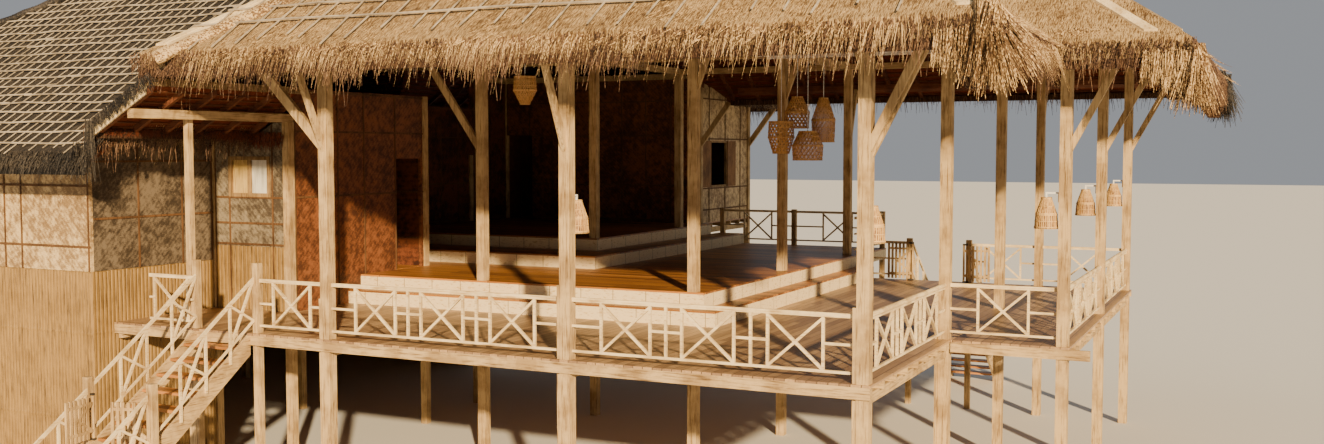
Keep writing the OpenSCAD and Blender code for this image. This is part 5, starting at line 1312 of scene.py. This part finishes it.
class STILTHALL_OT_basket_weave(bpy.types.Operator):
    """Weave the open hanging baskets from split cane"""
    bl_idname = "stilt_hall.basket_weave"
    bl_label = "Basket weave"

    def execute(self, context):
        stock = timber_stock(0.0, 970, 1)
        steps = 9
        places = []
        for number, points in enumerate(parts_of("hanging_baskets")):
            basket = Round(points, 0.02)
            size = max(r for z, r in basket.rings)
            count = max(12, round(math.tau * size / 0.080))
            twist = (basket.high - basket.low) / size * 0.75
            # Slanting strips of both ways pass over and under each other
            for way in (-1, 1):
                for k in range(count):
                    first = (k + 0.5 * number) * math.tau / count
                    for step in range(steps):
                        shares = [(step + end) / steps for end in (0, 1.04)]
                        lift = -0.004 + 0.004 * ((k + step + (way > 0)) % 2)
                        places.append(basket.strip(
                            [first + way * twist * share for share in shares],
                            [basket.height(min(1.0, share)) for share in shares], lift, 0.011, 0.004))
            for share, width in ((0.01, 0.022), (0.33, 0.012), (0.66, 0.012), (0.98, 0.022)):
                places += basket.hoop(share, 20, 0.002, width, 0.005)
            # The closed upper end
            centre = basket.middle + UP * (basket.high - 0.004)
            for k in range(12):
                rim = centre + basket.ray(k * math.tau / 12) * basket.rings[-1][1]
                places.append(bar(centre, rim, 0.014, 0.004, UP))
        woven = repeat("basket_weave", "cane", [(stock, place) for place in places])
        # The weave stands for the plain solids
        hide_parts("hanging_baskets")
        return {"FINISHED"}


class STILTHALL_OT_stage(bpy.types.Operator):
    """Set the floor, the lights and the camera"""
    bl_idname = "stilt_hall.stage"
    bl_label = "Stage"

    def execute(self, context):
        scene, stage = context.scene, context.scene.hall_stage
        clear_selection()
        bpy.ops.mesh.primitive_plane_add(size=400, location=(-9, 8, -0.002))
        floor = context.object
        floor.name = "floor"
        bpy.ops.object.transform_apply(location=True, rotation=True, scale=True)
        material, tree, _ = begin("Plain floor", 0.9, 0.2)
        tree.nodes["Principled BSDF"].inputs["Base Color"].default_value = stage.floor
        floor.data.materials.append(material)
        world = bpy.data.worlds.new("Soft studio")
        world.use_nodes = True
        sky = world.node_tree.nodes["Background"].inputs
        sky["Color"].default_value = linear("#E8ECF2")
        sky["Strength"].default_value = 0.38
        scene.world = world
        # A low warm sun from the front right, as in the photo, and a faint light from the left
        for name, turn, power, soft, tint in (
                ("Key", (72, 0, 38), 11.0, 1.5, "#FFE3B4"), ("Fill", (55, 0, -40), 0.5, 60, "#EEF2FF")):
            light = bpy.data.lights.new(name, "SUN")
            light.energy = power
            light.angle = math.radians(soft)
            light.color = linear(tint)[:3]
            lamp = bpy.data.objects.new(name, light)
            lamp.rotation_euler = Euler([math.radians(a) for a in turn])
            context.collection.objects.link(lamp)
        camera = bpy.data.objects.new("Camera", bpy.data.cameras.new("Camera"))
        camera.data.lens = stage.lens
        camera.data.sensor_width = 36
        camera.data.sensor_fit = "HORIZONTAL"
        camera.data.clip_end = 500
        camera.location = stage.eye
        camera.rotation_euler = (math.pi / 2 - stage.pitch, 0, stage.heading)
        context.collection.objects.link(camera)
        scene.camera = camera
        return {"FINISHED"}


SETTINGS = {
    "hall_straw": StrawSettings, "hall_timber": TimberSettings,
    "hall_walls": WallSettings, "hall_stage": StageSettings}
OPERATORS = [
    STILTHALL_OT_stage, STILTHALL_OT_finishes, STILTHALL_OT_straw_coat, STILTHALL_OT_eave_straw,
    STILTHALL_OT_corner_bundles, STILTHALL_OT_porch_straw, STILTHALL_OT_straw_rolls,
    STILTHALL_OT_roof_laths, STILTHALL_OT_under_battens, STILTHALL_OT_wall_battens,
    STILTHALL_OT_skirting_strips, STILTHALL_OT_post_cheeks, STILTHALL_OT_window_blinds,
    STILTHALL_OT_lamp_ribs, STILTHALL_OT_basket_weave]


class STILTHALL_PT_panel(bpy.types.Panel):
    """The hall's settings and steps"""
    bl_idname = "STILTHALL_PT_panel"
    bl_label = "Stilt hall"
    bl_space_type = "VIEW_3D"
    bl_region_type = "UI"
    bl_category = "Stilt hall"

    def draw(self, context):
        for name, group in SETTINGS.items():
            box = self.layout.box()
            for prop in group.__annotations__:
                box.prop(getattr(context.scene, name), prop)
        for operator in OPERATORS:
            self.layout.operator(operator.bl_idname)


def register():
    for cls in list(SETTINGS.values()) + OPERATORS + [STILTHALL_PT_panel]:
        bpy.utils.register_class(cls)
    for name, group in SETTINGS.items():
        setattr(bpy.types.Scene, name, bpy.props.PointerProperty(type=group))


def unregister():
    for name in SETTINGS:
        delattr(bpy.types.Scene, name)
    for cls in [STILTHALL_PT_panel] + OPERATORS[::-1] + list(SETTINGS.values())[::-1]:
        bpy.utils.unregister_class(cls)


def main():
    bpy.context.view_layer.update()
    register()
    for operator in OPERATORS:
        group, step = operator.bl_idname.split(".")
        getattr(getattr(bpy.ops, group), step)()


if __name__ == "__main__":
    main()
